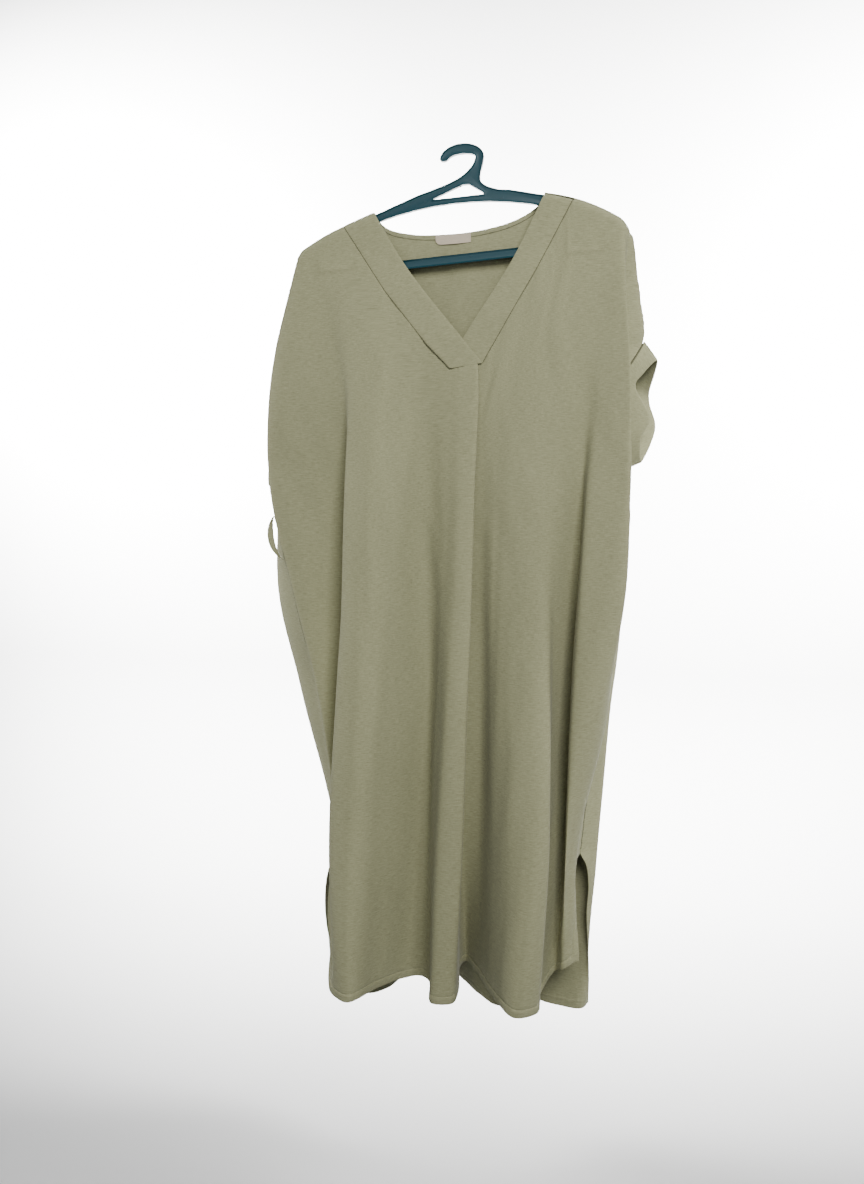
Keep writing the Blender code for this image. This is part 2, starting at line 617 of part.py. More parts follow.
def neck_depth(z):
    """Depth of the neck's inner edges, which lean out a little below the bar (metres)."""
    return np.interp(-z, (0.12, 0.29), (-9 * MM, -17 * MM))


def build_band(front, name, edge, start, end, offset, cloth):
    """A neck band from the front's upper edge, columns start to end, to its drawn inner edge.

    Near the V its depth is offset, so that one band laps over the other.
    """
    outer = front.grid[start:end + 1, 0].copy()
    run = np.concatenate([[0.0], np.cumsum(np.linalg.norm(np.diff(outer, axis=0), axis=1))])
    inner = resample(smooth_line(edge) * MM, run / run[-1])
    inner = np.stack([inner[:, 0], neck_depth(inner[:, 1]), inner[:, 1]], -1)
    shares = np.linspace(0, 1, 4)[None, :, None]
    grid = outer[:, None] * (1 - shares) + inner[:, None] * shares
    # The depth between the seam and the edge, before the roll over the arm.
    flat = np.minimum(outer[:, 1], neck_depth(outer[:, 2]))
    grid[:, 1:, 1] = flat[:, None] * (1 - shares[:, 1:, 0]) + inner[:, None, 1] * shares[:, 1:, 0]
    top = shoulder_height(grid[..., 0])
    grid[..., 2] = np.minimum(grid[..., 2], top)
    drop = np.clip((top - grid[..., 2]) / SHOULDER_ROLL, 0.0, 1.0)
    roll = np.sqrt(1 - (1 - drop) ** 2)
    grid[:, 1:, 1] = -SEAM_GAP / 2 + (grid[:, 1:, 1] + SEAM_GAP / 2) * roll[:, 1:]
    lap = np.clip((-grid[..., 2] - LAP_START) / LAP_EASE, 0.0, 1.0)
    grid[..., 1] += offset * lap * lap * (3 - 2 * lap)
    normals = surface_normals(grid)
    if normals[..., 1].sum() > 0:
        normals = -normals
    normals[:, 0] = front.normal[start:end + 1, 0]
    shoulder = 0 if abs(grid[0, 0, 0]) > abs(grid[-1, 0, 0]) else -1
    normals[shoulder] = seam_normal(grid[shoulder, :, 0])
    grid[:, 0] += unit(grid[:, 1] - grid[:, 0]) * SEAM_GAP
    ends = grid.copy()
    grid[0] += unit(ends[1] - ends[0]) * SEAM_GAP
    grid[-1] += unit(ends[-2] - ends[-1]) * SEAM_GAP
    vertices, faces = wall_mesh(grid, BAND_WALL, normals)
    add_object(name, vertices, faces, cloth)


def build_binding(back, cloth):
    """The back neck binding, from the back panel's upper edge to the neck's edge."""
    left = back.column(BAND_SHOULDER_LEFT[1] * MM) + 2
    right = back.column(BAND_SHOULDER_RIGHT[1] * MM) - 2
    lower = back.grid[left:right + 1, 0].copy()
    upper = lower.copy()
    upper[:, 2] = np.minimum(back_neck(lower[:, 0]), lower[:, 2] + BINDING_WIDTH)
    slope = np.gradient(lower[:, 2]) / np.gradient(lower[:, 0])
    lower[:, 2] += SEAM_GAP * np.sqrt(1 + slope ** 2)
    grid = np.stack([lower, upper], 1)
    normals = np.zeros_like(grid)
    normals[:, 0] = back.normal[left:right + 1, 0]
    normals[:, 1, 1] = 1.0
    vertices, faces = wall_mesh(grid, BINDING_WALL, normals)
    add_object("back_neck_binding", vertices, faces, cloth)


def build_label(back, cloth):
    """The neck label, a bare folded strip on the inside of the binding."""
    width, height = LABEL_SIZE
    x = LABEL_MIDDLE + np.linspace(-0.5, 0.5, 7) * width
    column = back.grid[back.column(LABEL_MIDDLE), 0, 1]
    depth = column - BINDING_WALL / 2 - SEAM_GAP - LABEL_WALL / 2
    top = back_neck(x) - LABEL_DROP
    z = top[:, None] - np.linspace(0, 1, 4) * height
    grid = np.stack([np.broadcast_to(x[:, None], z.shape), np.full(z.shape, depth), z], -1)
    normals = np.broadcast_to(np.array([0.0, 1.0, 0.0]), grid.shape)
    vertices, faces = wall_mesh(grid, LABEL_WALL, normals)
    add_object("neck_label", vertices, faces, cloth)


def build_cuff(name, front, back, column, bottom, edge, cloth):
    """A sleeve band: a short tube from the sleeve's opening to its drawn free edge."""
    heights = np.array(ROW_HEIGHTS)
    first = len(ROW_DROPS) + int(np.where(heights == -238)[0][0])
    last = len(ROW_DROPS) + int(np.where(heights == bottom)[0][0])
    rows = np.arange(first, last + 1)
    ring = np.concatenate([front.grid[column, rows], back.grid[column, rows[1:-1]][::-1]])
    sewn = np.concatenate([front.normal[column, rows], back.normal[column, rows[1:-1]][::-1]])
    free = np.array(edge, float) * MM
    tangent = unit(np.roll(ring, -1, 0) - np.roll(ring, 1, 0))
    away = free - ring
    away -= tangent * (away * tangent).sum(-1, keepdims=True)
    start = ring + unit(away) * CUFF_GAP
    shares = np.linspace(0, 1, 4)[None, :, None]
    grid = start[:, None] * (1 - shares) + free[:, None] * shares
    normals = surface_normals(grid, closed=True)
    if ((grid - grid.mean(0, keepdims=True)) * normals).sum() < 0:
        normals = -normals
    # The seam is mitred: the panels take the same normals as the band along it.
    shared = unit(sewn + normals[:, 0])
    normals[:, 0] = shared
    front.normal[column, rows] = shared[:len(rows)]
    back.normal[column, rows] = np.concatenate([shared[:1], shared[len(rows) - 1:][::-1]])
    vertices, faces = wall_mesh(grid, CUFF_WALL, normals, closed=True)
    add_object(name, vertices, faces, cloth)


def build_loop(name, sign, heights, bulge, twist, front, cloth):
    """A belt loop: a narrow strip tacked on the side seam at both ends and standing off between."""
    column = 0 if sign < 0 else -1
    seam = front.grid[column]
    order = np.argsort(seam[:, 2])
    z = np.linspace(heights[0], heights[1], LOOP_ROWS) * MM
    place = np.stack([np.interp(z, seam[order, 2], seam[order, k]) for k in range(3)], -1)
    out = np.stack([np.interp(z, seam[order, 2], front.normal[column][order, k]) for k in range(3)], -1)
    out = unit(out)
    share = np.linspace(0, 1, len(z))
    lift = np.sin(np.pi * share) ** LOOP_STAND_POWER
    stand = PANEL_WALL / 2 + LOOP_WALL / 2 + LOOP_STAND
    path = place + out * (stand + bulge * MM * lift)[:, None]
    tangent = unit(np.gradient(path, axis=0))
    flat = unit(np.cross(out, tangent))
    turned = twist * np.sin(np.pi * share)
    width = flat * np.cos(turned)[:, None] + np.cross(tangent, flat) * np.sin(turned)[:, None]
    strip = LOOP_TACK + (LOOP_WIDTH - LOOP_TACK) * np.sin(np.pi * share) ** LOOP_WIDEN_POWER
    grid = path[:, None] + width[:, None] * strip[:, None, None] * np.array([-0.5, 0.5])[None, :, None]
    normals = unit(np.cross(tangent, width))[:, None] * np.ones((1, 2, 1))
    vertices, faces = wall_mesh(grid, LOOP_WALL, normals)
    add_object(name, vertices, faces, cloth)


def arc(middle, radius, start, end, count):
    """Points of an ellipse's arc in (across, height), angles in degrees."""
    angles = np.radians(np.linspace(start, end, count))
    return [(middle[0] + radius[0] * math.cos(a), middle[1] + radius[1] * math.sin(a)) for a in angles]


def arm_line(start, end, count, lower):
    """Points of an arm's upper or lower edge between two distances from the hanger's middle."""
    points = []
    for distance in np.linspace(start, end, count):
        if lower:
            height = ARM_LOWER_CROWN - ARM_LOWER_BOW * distance * distance
        else:
            height = ARM_TOP_Z - arm_drop(abs(distance), 1 if distance > 0 else -1)
        points.append((HANGER_MIDDLE + distance, height))
    return points


def slab(name, outline, depth):
    """An object extruded through the hanger's depth from an outline in its upright frame."""
    turned = [tilt(x, z) for x, z in outline]
    count = len(turned)
    vertices = [(x, y, z) for y in (-depth / 2, depth / 2) for x, z in turned]
    work = bmesh.new()
    corners = [work.verts.new(v) for v in vertices]
    work.faces.new(corners[:count])
    work.faces.new(corners[count:][::-1])
    for i in range(count):
        j = (i + 1) % count
        work.faces.new((corners[i], corners[i + count], corners[j + count], corners[j]))
    bmesh.ops.recalc_face_normals(work, faces=work.faces)
    mesh = bpy.data.meshes.new(name)
    work.to_mesh(mesh)
    work.free()
    result = bpy.data.objects.new(name, mesh)
    bpy.context.collection.objects.link(result)
    return result


def millimetres(points):
    """Drawn points in metres."""
    return [(x * MM, z * MM) for x, z in points]


def build_hanger(plastic):
    """The hanger: hook, arms and trouser bar with a rim round a thinner web."""
    half = HANGER_HALF_WIDTH
    inner_end = half - GAP_END_INSET
    middle = (0.0, HOOK_MIDDLE_Z)
    stem_outer = [tuple(p) for p in smooth_line(np.array(STEM_OUTER) * MM, 12)]
    stem_inner = [tuple(p) for p in smooth_line(np.array(STEM_INNER) * MM, 14)]
    outline = arc(middle, HOOK_OUTER, *HOOK_OUTER_SWEEP, 17)
    outline += stem_outer
    outline += arm_line(ARM_STARTS[1], half - TIP_TOP_INSET, 8, False)
    for sign in (1, -1):
        corner = (HANGER_MIDDLE + sign * (half - TIP_MIDDLE_INSET), BAR_BOTTOM + END_RADIUS)
        spread = (TIP_MIDDLE_INSET, END_RADIUS)
        height = ARM_TOP_Z - arm_drop(half - TIP_CORNER[0] / 2, sign) - TIP_CORNER_STEP
        upper = (corner[0], height - TIP_CORNER[1] * math.sin(math.radians(TIP_TOP_TURN)))
        if sign > 0:
            outline += arc(upper, TIP_CORNER, TIP_TOP_TURN, 0, 4)
            outline += arc(corner, spread, 0, -90, 5)
        else:
            outline += arc(corner, spread, -90, -180, 5)
            outline += arc(upper, TIP_CORNER, 180, 180 - TIP_TOP_TURN, 4)
    outline += arm_line(TIP_TOP_INSET - half, -ARM_STARTS[-1], 8, False)
    outline += stem_inner
    outline += arc(middle, HOOK_INNER, *HOOK_INNER_SWEEP, 11)[1:]
    outline += arc(HOOK_LIP_MIDDLE, HOOK_LIP_SIZE, *HOOK_LIP_SWEEP, 5)
    body = slab("hanger", outline, HANGER_DEPTH)
    gap = arm_line(-inner_end, inner_end, 17, True)
    gap += [(HANGER_MIDDLE + inner_end, BAR_TOP), (HANGER_MIDDLE - inner_end, BAR_TOP)]
    cutters = [slab("gap_cutter", gap, 3 * HANGER_DEPTH),
               slab("cutout_cutter", millimetres(CUTOUT), 3 * HANGER_DEPTH)]
    for cutter in cutters:
        cutter.hide_render = True
        cutter.display_type = "WIRE"
        cut = body.modifiers.new(cutter.name, "BOOLEAN")
        cut.operation = "DIFFERENCE"
        cut.object = cutter
    bpy.context.view_layer.update()
    solid = bpy.data.meshes.new_from_object(body.evaluated_get(bpy.context.evaluated_depsgraph_get()))
    body.modifiers.clear()
    body.data = solid
    work = bmesh.new()
    work.from_mesh(solid)
    bmesh.ops.dissolve_limit(work, angle_limit=math.radians(1), verts=work.verts, edges=work.edges)
    for direction in (-1, 1):
        flat = [face for face in work.faces if face.normal.y * direction > 0.99]
        bmesh.ops.inset_region(work, faces=flat, thickness=RIM_WIDTH, depth=-WEB_RECESS,
                               use_even_offset=True, use_boundary=True)
    bmesh.ops.triangulate(work, faces=work.faces)
    work.to_mesh(solid)
    work.free()
    solid.materials.append(plastic)
    solid.shade_smooth()
    solid.set_sharp_from_angle(angle=math.radians(SHARP_EDGE))


def main():
    """Builds the dress and its hanger."""
    for existing in list(bpy.data.objects):
        bpy.data.objects.remove(existing, do_unlink=True)
    cloth = material("sage_cloth", SAGE_CLOTH)
    tape = material("label_cloth", LABEL_CLOTH)
    plastic = material("teal_plastic", TEAL_PLASTIC)
    front, back = Panel(1), Panel(2)
    mitre(front, back)
    build_cuff("cuff_left", front, back, 0, -430, LEFT_CUFF_EDGE, cloth)
    build_cuff("cuff_right", front, back, -1, -405, RIGHT_CUFF_EDGE, cloth)
    build_panel(front, "front_panel", cloth)
    build_panel(back, "back_panel", cloth)
    corner_left = front.column(BAND_SHOULDER_LEFT[0] * MM)
    corner_right = front.column(BAND_SHOULDER_RIGHT[0] * MM)
    v_left = front.column(BAND_SEAM_LEFT[-1][0] * MM)
    v_right = front.column(BAND_SEAM_RIGHT[0][0] * MM)
    build_band(front, "neck_band_over", BAND_EDGE_LEFT, corner_left, v_left, -LAP_SHIFT, cloth)
    build_band(front, "neck_band_under", BAND_EDGE_RIGHT, v_right, corner_right, LAP_SHIFT, cloth)
    build_binding(back, cloth)
    build_label(back, tape)
    for name, sign, heights, bulge, twist in LOOP_PATHS:
        build_loop(name, sign, heights, bulge, twist, front, cloth)
    build_hanger(plastic)


if __name__ == "__main__":
    main()
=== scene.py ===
"""Loose dress with a V neck, cap sleeves and side slits on a moulded hanger: its finished look.

Every piece of cloth is worked out again from the dress's own sections and folds, finer than the
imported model, as a thin wall with its creases, hems and stitching. The hanger keeps the packed
form and gets eased edges. Frame: metres, +Z up, front towards -Y, origin in the hook.
"""
import logging
import math
from dataclasses import dataclass, field
from enum import Enum

import bmesh
import bpy
import numpy as np
from mathutils import Matrix


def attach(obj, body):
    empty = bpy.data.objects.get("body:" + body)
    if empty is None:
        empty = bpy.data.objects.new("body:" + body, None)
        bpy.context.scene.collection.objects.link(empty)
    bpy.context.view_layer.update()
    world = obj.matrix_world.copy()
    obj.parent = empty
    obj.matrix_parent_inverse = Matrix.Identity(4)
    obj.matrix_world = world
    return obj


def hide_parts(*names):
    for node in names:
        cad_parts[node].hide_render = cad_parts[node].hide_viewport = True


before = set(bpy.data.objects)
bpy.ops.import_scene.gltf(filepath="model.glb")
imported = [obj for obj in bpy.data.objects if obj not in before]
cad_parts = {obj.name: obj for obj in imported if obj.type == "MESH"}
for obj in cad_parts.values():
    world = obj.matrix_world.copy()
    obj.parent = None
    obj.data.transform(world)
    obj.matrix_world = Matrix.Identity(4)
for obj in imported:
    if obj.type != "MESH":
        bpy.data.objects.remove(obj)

LOG = logging.getLogger("dress")
MM = 0.001

Array = np.ndarray
Point = tuple[float, float]
Place = tuple[float, float, float]
Colour = tuple[float, float, float, float]


class Side(Enum):
    """The two panels of the dress."""

    FRONT = 1
    BACK = 2


class Band(Enum):
    """The two neck bands: the one that laps over, and the one tucked under it."""

    OVER = "band_lapping_over"
    UNDER = "band_tucked_under"


@dataclass(frozen=True)
class Fold:
    """A fold line that runs down a panel: its place (across, depth) in mm at each level."""

    name: str
    places: tuple[Point, ...]


@dataclass(frozen=True)
class EdgeRow:
    """Where front and back end at one height, (across, depth) in mm."""

    height: float
    front: Point
    back: Point


@dataclass(frozen=True)
class Crease:
    """A soft crease: a line (across, height) in mm with its relief and half width in mm.

    It shows only on the folds between the two fold numbers.
    """

    line: tuple[Point, ...]
    relief: float
    width: float
    folds: Point = (0.0, 99.0)


# Heights in mm: the folds' levels, the sleeve openings' ends, the slits' top, the sleeve bands' levels.
LEVELS = (-120.0, -290.0, -430.0, -570.0, -720.0, -930.0)
SLEEVE_TOP = -238.0
LEFT_SLEEVE_END = -430.0
RIGHT_SLEEVE_END = -405.0
SLIT_TOP = -945.0
SLEEVE_LEVELS = (SLEEVE_TOP, -264.0, -290.0, -330.0, -370.0, RIGHT_SLEEVE_END)
# Grid lines crowd towards a sewn or turned edge, at these distances from it in mm.
UNDER_EDGE = (0, 0.5, 1.2, 2.2, 3.6, 5.6, 8.2, 11.5, 16)
BESIDE_CORNER = (0, 0.5, 1.2, 2.2, 3.6, 5.6, 8.2, 11.5, 15)
OVER_HEM = (15, 12.6, 11.6, 11, 10.4, 9, 6.5, 4, 1.8, 0.5, 0)
# Shares of the width of a neck band and of a sleeve band, crowded at the seam and the free edge.
BAND_SHARES = (0, 0.03, 0.08, 0.16, 0.3, 0.45, 0.6, 0.75, 0.88, 0.95, 0.985, 1.0)
CUFF_SHARES = (0, 0.03, 0.08, 0.18, 0.32, 0.48, 0.64, 0.78, 0.9, 0.96, 0.985, 1.0)
BINDING_SHARES = (0, 0.06, 0.2, 0.5, 0.8, 0.94, 1.0)
# A distance that stands for no hem or seam near, in metres.
FAR = 0.2

# Folds from left to right at LEVELS and at the hem.
FRONT_FOLDS = (
    Fold("left side",
         ((-217, -8), (-262, -7), (-267, -6), (-236, -10), (-198, -18), (-174, -26), (-180, -55))),
    Fold("left trough",
         ((-196, -9), (-161, -13), (-152, -3), (-152, 4), (-157, 0), (-156, -20), (-171, -84))),
    Fold("left fold edge",
         ((-166, -9), (-146, -24), (-152, -32), (-156, -43), (-163, -56), (-172, -74), (-158, -100))),
    Fold("left fold crest",
         ((-130, -9), (-114, -28), (-122, -43), (-128, -55), (-134, -69), (-144, -88), (-139, -111))),
    Fold("left flank",
         ((-88, -9), (-76, -20), (-82, -30), (-86, -37), (-90, -45), (-96, -56), (-103, -62))),
    Fold("left valley",
         ((-50, -9), (-46, -15.5), (-45, -14), (-43, -12), (-41, -10), (-46, -13), (-56, -26))),
    Fold("pleat flank",
         ((-25, -9), (-16, -17), (-16, -24), (-18, -32), (-25, -37), (-33, -39), (-37, -38))),
    Fold("pleat crest",
         ((-6, -9), (4, -19), (3, -32), (0, -46), (-8, -60), (-19, -76), (-25, -95))),
    Fold("pleat edge",
         ((8, -9), (25, -19.5), (22, -30), (20, -42), (16.5, -56), (12, -76), (2, -92))),
    Fold("pleat turn",
         ((9, -8.5), (25, -17), (21, -26), (18, -35), (13, -45), (9, -58), (7, -62))),
    Fold("underlay edge",
         ((10, -8), (-18, -14.2), (-14, -19), (-8, -24), (-4, -24), (0, -14), (1, 10))),
    Fold("underlay turn",
         ((11, -7.5), (-18, -11.6), (-12, -15), (-5, -18), (0, -18), (7, -6), (8, 27))),
    Fold("underlay base",
         ((30, -8), (28, -15), (28, -15), (29, -13), (31, -12), (31, -12), (26, -2))),
    Fold("recess edge",
         ((55, -9), (47, -17), (48, -22), (50, -28), (53, -40), (56, -52), (53, -60))),
    Fold("main fold crest",
         ((92, -9), (92, -20), (96, -32), (99, -45), (102, -64), (104, -92), (90, -114))),
    Fold("main fold edge",
         ((120, -9), (118, -20), (119, -30), (121, -42), (125, -56), (129, -80), (118, -98))),
    Fold("main fold back",
         ((134, -9), (134, -19), (134, -25), (132, -31), (130, -38), (127, -48), (120, -52))),
    Fold("right valley",
         ((152, -9), (166, -16), (164, -11), (160, -2), (155, 2), (151, -6), (138, -32))),
    Fold("right fold edge",
         ((180, -9), (187, -21), (174, -32), (166, -42), (159, -50), (152, -50), (150, -46))),
    Fold("front edge",
         ((209, -10), (222, -31), (225, -39), (222, -40), (194, -40), (157, -42), (159, -45))),
    Fold("side valley",
         ((216, -4), (196, -4), (203, -4), (212, -6), (206, -10), (166, -24), (167, -41))),
)
BACK_FOLDS = (
    Fold("left side",
         ((-214, 9), (-208, 68), (-254, 44), (-272, 40), (-243, 42), (-193, 40), (-164, 20))),
    Fold("left crest",
         ((-200, 10), (-188, 76), (-222, 78), (-222, 84), (-202, 84), (-160, 66), (-136, 2))),
    Fold("left valley",
         ((-172, 10), (-166, 48), (-186, 56), (-176, 56), (-160, 58), (-124, 48), (-110, 20))),
    Fold("left middle crest",
         ((-110, 10), (-112, 34), (-118, 56), (-112, 68), (-104, 84), (-84, 102), (-60, 120))),
    Fold("centre valley",
         ((-40, 10), (-42, 26), (-42, 34), (-38, 38), (-26, 40), (6, 36), (60, -2))),
    Fold("right middle crest",
         ((40, 10), (36, 30), (38, 48), (40, 62), (42, 76), (56, 84), (88, 44))),
    Fold("right valley",
         ((120, 10), (118, 32), (112, 40), (106, 44), (102, 46), (104, 42), (114, 24))),
    Fold("right crest",
         ((188, 10), (190, 58), (186, 74), (178, 78), (166, 74), (152, 54), (150, 10))),
    Fold("right side",
         ((210, 9), (214, 54), (222, 68), (221, 62), (211, 44), (197, 34), (178, 9))),
)
LEFT_EDGE = (
    EdgeRow(-110, (-218, 0), (-218, 0)),
    EdgeRow(-138, (-225, 0.5), (-225, 0.5)),
    EdgeRow(-162, (-232, 12), (-232, 12)),
    EdgeRow(-190, (-239, 28), (-239, 28)),
    EdgeRow(-238, (-244, 45), (-244, 45)),
    EdgeRow(-264, (-245, 44), (-238, 62)),
    EdgeRow(-290, (-246, 43), (-230, 73)),
    EdgeRow(-330, (-247, 42), (-231, 75)),
    EdgeRow(-370, (-254, 32), (-242, 60)),
    EdgeRow(-405, (-260, 14), (-252, 38)),
    EdgeRow(-430, (-262, 12), (-262, 12)),
    EdgeRow(-500, (-257, 0), (-257, 0)),
    EdgeRow(-560, (-242, 0), (-242, 0)),
    EdgeRow(-630, (-226, 0), (-226, 0)),
    EdgeRow(-700, (-208, 2), (-208, 2)),
    EdgeRow(-780, (-196, 3), (-196, 3)),
    EdgeRow(-860, (-185, 5), (-185, 5)),
    EdgeRow(-950, (-174, 8), (-174, 8)),
    EdgeRow(-990, (-184, -10), (-194, 12)),
    EdgeRow(-1040, (-186, -26), (-202, 12)),
    EdgeRow(-1085, (-182, -38), (-199, 10)),
    EdgeRow(-1180, (-170, -48), (-172, 8)),
)
RIGHT_EDGE = (
    EdgeRow(-85, (216, 0), (216, 0)),
    EdgeRow(-110, (222, 0.5), (222, 0.5)),
    EdgeRow(-145, (227, 9), (227, 9)),
    EdgeRow(-190, (235, 19), (235, 19)),
    EdgeRow(-238, (240, 28), (240, 28)),
    EdgeRow(-264, (226, 14), (236, 46)),
    EdgeRow(-290, (209, 6), (228, 54)),
    EdgeRow(-330, (219, 18), (233, 60)),
    EdgeRow(-370, (217, 28), (229, 60)),
    EdgeRow(-405, (224, 48), (224, 48)),
    EdgeRow(-500, (220, 34), (220, 34)),
    EdgeRow(-630, (216, 20), (216, 20)),
    EdgeRow(-700, (204, 18), (204, 18)),
    EdgeRow(-780, (193, 16), (193, 16)),
    EdgeRow(-860, (180, 13), (180, 13)),
    EdgeRow(-945, (172, 6), (172, 6)),
    EdgeRow(-962, (161, -4), (180, 10)),
    EdgeRow(-990, (165, -10), (184, 11)),
    EdgeRow(-1035, (169, -22), (183, 11)),
    EdgeRow(-1085, (173, -33), (186, 11)),
    EdgeRow(-1125, (173, -35), (188, 14)),
    EdgeRow(-1180, (173, -35), (188, 27)),
)

# Creases of the front: the trouser bar's print on the yoke, drag lines below the bands, and the
# small upright creases beside the pleat and on the left fold.
FRONT_CREASES = (
    Crease(((-224, -147), (-168, -142), (-118, -139)), 1.5, 2.6, (0, 7)),
    Crease(((84, -129), (155, -127), (224, -125)), 1.5, 2.6, (13, 22)),
    Crease(((-120, -205), (-135, -300), (-140, -410)), 1.2, 14.0, (0, 6)),
    Crease(((-62, -262), (-78, -350), (-84, -480)), 1.0, 13.0, (3, 8)),
    Crease(((-28, -300), (-24, -420), (-26, -560)), 0.8, 9.0, (5, 9)),
    Crease(((60, -260), (66, -380), (64, -520)), 0.9, 11.0, (13, 17)),
    Crease(((110, -170), (140, -300), (150, -470)), 1.1, 15.0, (14, 20)),
    Crease(((56, -440), (52, -560), (50, -700), (53, -830)), -1.1, 4.5, (12, 16)),
    Crease(((74, -600), (72, -700), (76, -790)), 0.7, 5.0, (12, 16)),
    Crease(((-150, -430), (-156, -520), (-154, -600)), 0.9, 6.0, (1, 5)),
    Crease(((-128, -455), (-124, -560), (-130, -640)), -0.7, 5.0, (2, 6)),
    Crease(((-20, -470), (-12, -560), (-16, -690)), 0.8, 6.5, (6, 9)),
    Crease(((150, -560), (158, -680), (154, -800)), 0.9, 8.0, (16, 21)),
    Crease(((-70, -700), (-74, -850), (-84, -1010)), 1.0, 10.0, (4, 8)),
)

BACK_CREASES = (
    Crease(((-150, -180), (-120, -320), (-118, -480)), 1.2, 14.0),
    Crease(((120, -180), (105, -330), (110, -500)), 1.2, 14.0),
    Crease(((-30, -140), (-36, -260), (-34, -420)), 1.0, 16.0),
    Crease(((20, -520), (30, -700), (34, -900)), 1.1, 10.0),
    Crease(((-80, -600), (-74, -760), (-66, -980)), 1.0, 9.0),
    Crease(((150, -560), (146, -720), (130, -900)), 0.9, 9.0),
)


def unit(vector: Array) -> Array:
    """Vectors at length one: each divided by its own length."""
    return vector / np.maximum(np.linalg.norm(vector, axis=-1, keepdims=True), 1e-12)


def ease(value: Array) -> Array:
    """Smooth step from 0 to 1: 3 t squared less 2 t cubed."""
    t = np.clip(value, 0.0, 1.0)
    return t * t * (3 - 2 * t)


def curve_through(points: Array, parameter: Array) -> tuple[Array, Array]:
    """Smooth curve through drawn points, with knots at the square roots of the chords.

    Each span is a cubic Hermite piece whose end slopes are Catmull-Rom's for uneven knots, so
    close points make a tight turn. The first and last points are guides only.

    Args:
        points: drawn points, (n, places, 2).
        parameter: one place along each curve, (n,); 0 is the second point.

    Returns:
        The places and the directions there, each (n, 2).
    """
    step = np.diff(points, axis=1)
    chord = np.sqrt(np.maximum(np.linalg.norm(step, axis=-1), 1e-9))[..., None]
    slope = step / chord
    tangent = slope[:, :-1] - (step[:, :-1] + step[:, 1:]) / (chord[:, :-1] + chord[:, 1:]) + slope[:, 1:]
    inner = points[:, 1:-1]
    row = np.arange(len(points))
    index = np.clip(np.floor(parameter).astype(int), 0, inner.shape[1] - 2)
    t = (parameter - index)[:, None]
    start, end = inner[row, index], inner[row, index + 1]
    span = chord[row, index + 1]
    leave, arrive = tangent[row, index] * span, tangent[row, index + 1] * span
    t2, t3 = t * t, t * t * t
    place = ((2 * t3 - 3 * t2 + 1) * start + (t3 - 2 * t2 + t) * leave
             + (3 * t2 - 2 * t3) * end + (t3 - t2) * arrive)
    direction = ((6 * t2 - 6 * t) * start + (3 * t2 - 4 * t + 1) * leave
                 + (6 * t - 6 * t2) * end + (3 * t2 - 2 * t) * arrive)
    return place, direction


def smooth_between(heights: Array, values: Array, z: Array) -> Array:
    """Rows of a table joined by cubic Hermite pieces.

    A row's slope is the mean of the slopes beside it, each weighed by the other span's width.

    Args:
        heights: the rows' heights, falling, (n,).
        values: the rows, (n, k).
        z: heights to read at, of any shape.

    Returns:
        The values there, the shape of z with k behind it.
    """
    step = np.diff(values, axis=0) / np.diff(heights)[:, None]
    width = np.diff(heights)[:, None]
    slope = np.zeros_like(values)
    slope[1:-1] = (step[:-1] * width[1:] + step[1:] * width[:-1]) / (width[:-1] + width[1:])
    slope[0], slope[-1] = step[0], step[-1]
    z = np.clip(z, heights[-1], heights[0])
    index = np.clip(np.searchsorted(-heights, -z, side="right") - 1, 0, len(heights) - 2)
    span = (heights[index + 1] - heights[index])[..., None]
    t = ((z - heights[index])[..., None]) / span
    t2, t3 = t * t, t * t * t
    return ((2 * t3 - 3 * t2 + 1) * values[index] + (t3 - 2 * t2 + t) * span * slope[index]
            + (3 * t2 - 2 * t3) * values[index + 1] + (t3 - t2) * span * slope[index + 1])


def smooth_line(points: tuple[Point, ...], count: int = 60) -> Array:
    """A smooth polyline through a few drawn points, straight on past its ends.

    Args:
        points: the drawn points.
        count: how many points the polyline has.

    Returns:
        The polyline, (count, 2).
    """
    drawn = np.asarray(points, float)
    guides = np.concatenate([[2 * drawn[0] - drawn[1]], drawn, [2 * drawn[-1] - drawn[-2]]])
    s = np.linspace(0, len(drawn) - 1, count)
    return curve_through(np.broadcast_to(guides, (count,) + guides.shape), s)[0]


def run_of(points: Array) -> Array:
    """Length along a polyline up to each of its points."""
    return np.concatenate([[0.0], np.cumsum(np.linalg.norm(np.diff(points, axis=0), axis=1))])


def resample(points: Array, shares: Array) -> Array:
    """A polyline read at shares of its length."""
    run = run_of(points)
    return np.stack([np.interp(shares * run[-1], run, points[:, k]) for k in range(points.shape[1])], -1)


def distance_to_line(x: Array, z: Array, line: tuple[Point, ...]) -> tuple[Array, Array]:
    """How far each (x, z) lies from a drawn line, and how far along it.

    Each straight piece of the line is tried at the foot of the upright from the point.

    Args:
        x: across, in metres.
        z: height, in metres.
        line: drawn points in mm.

    Returns:
        The distance in metres to the nearest place of the line, and that place's share of its
        length.
    """
    points = smooth_line(line, 24) * MM
    run = run_of(points)
    best = np.full(x.shape, np.inf)
    share = np.zeros(x.shape)
    for k in range(len(points) - 1):
        a, d = points[k], points[k + 1] - points[k]
        t = np.clip(((x - a[0]) * d[0] + (z - a[1]) * d[1]) / (d @ d), 0.0, 1.0)
        gap = np.hypot(x - a[0] - t * d[0], z - a[1] - t * d[1])
        nearer = gap < best
        best = np.where(nearer, gap, best)
        share = np.where(nearer, (run[k] + t * (run[k + 1] - run[k])) / run[-1], share)
    return best, share


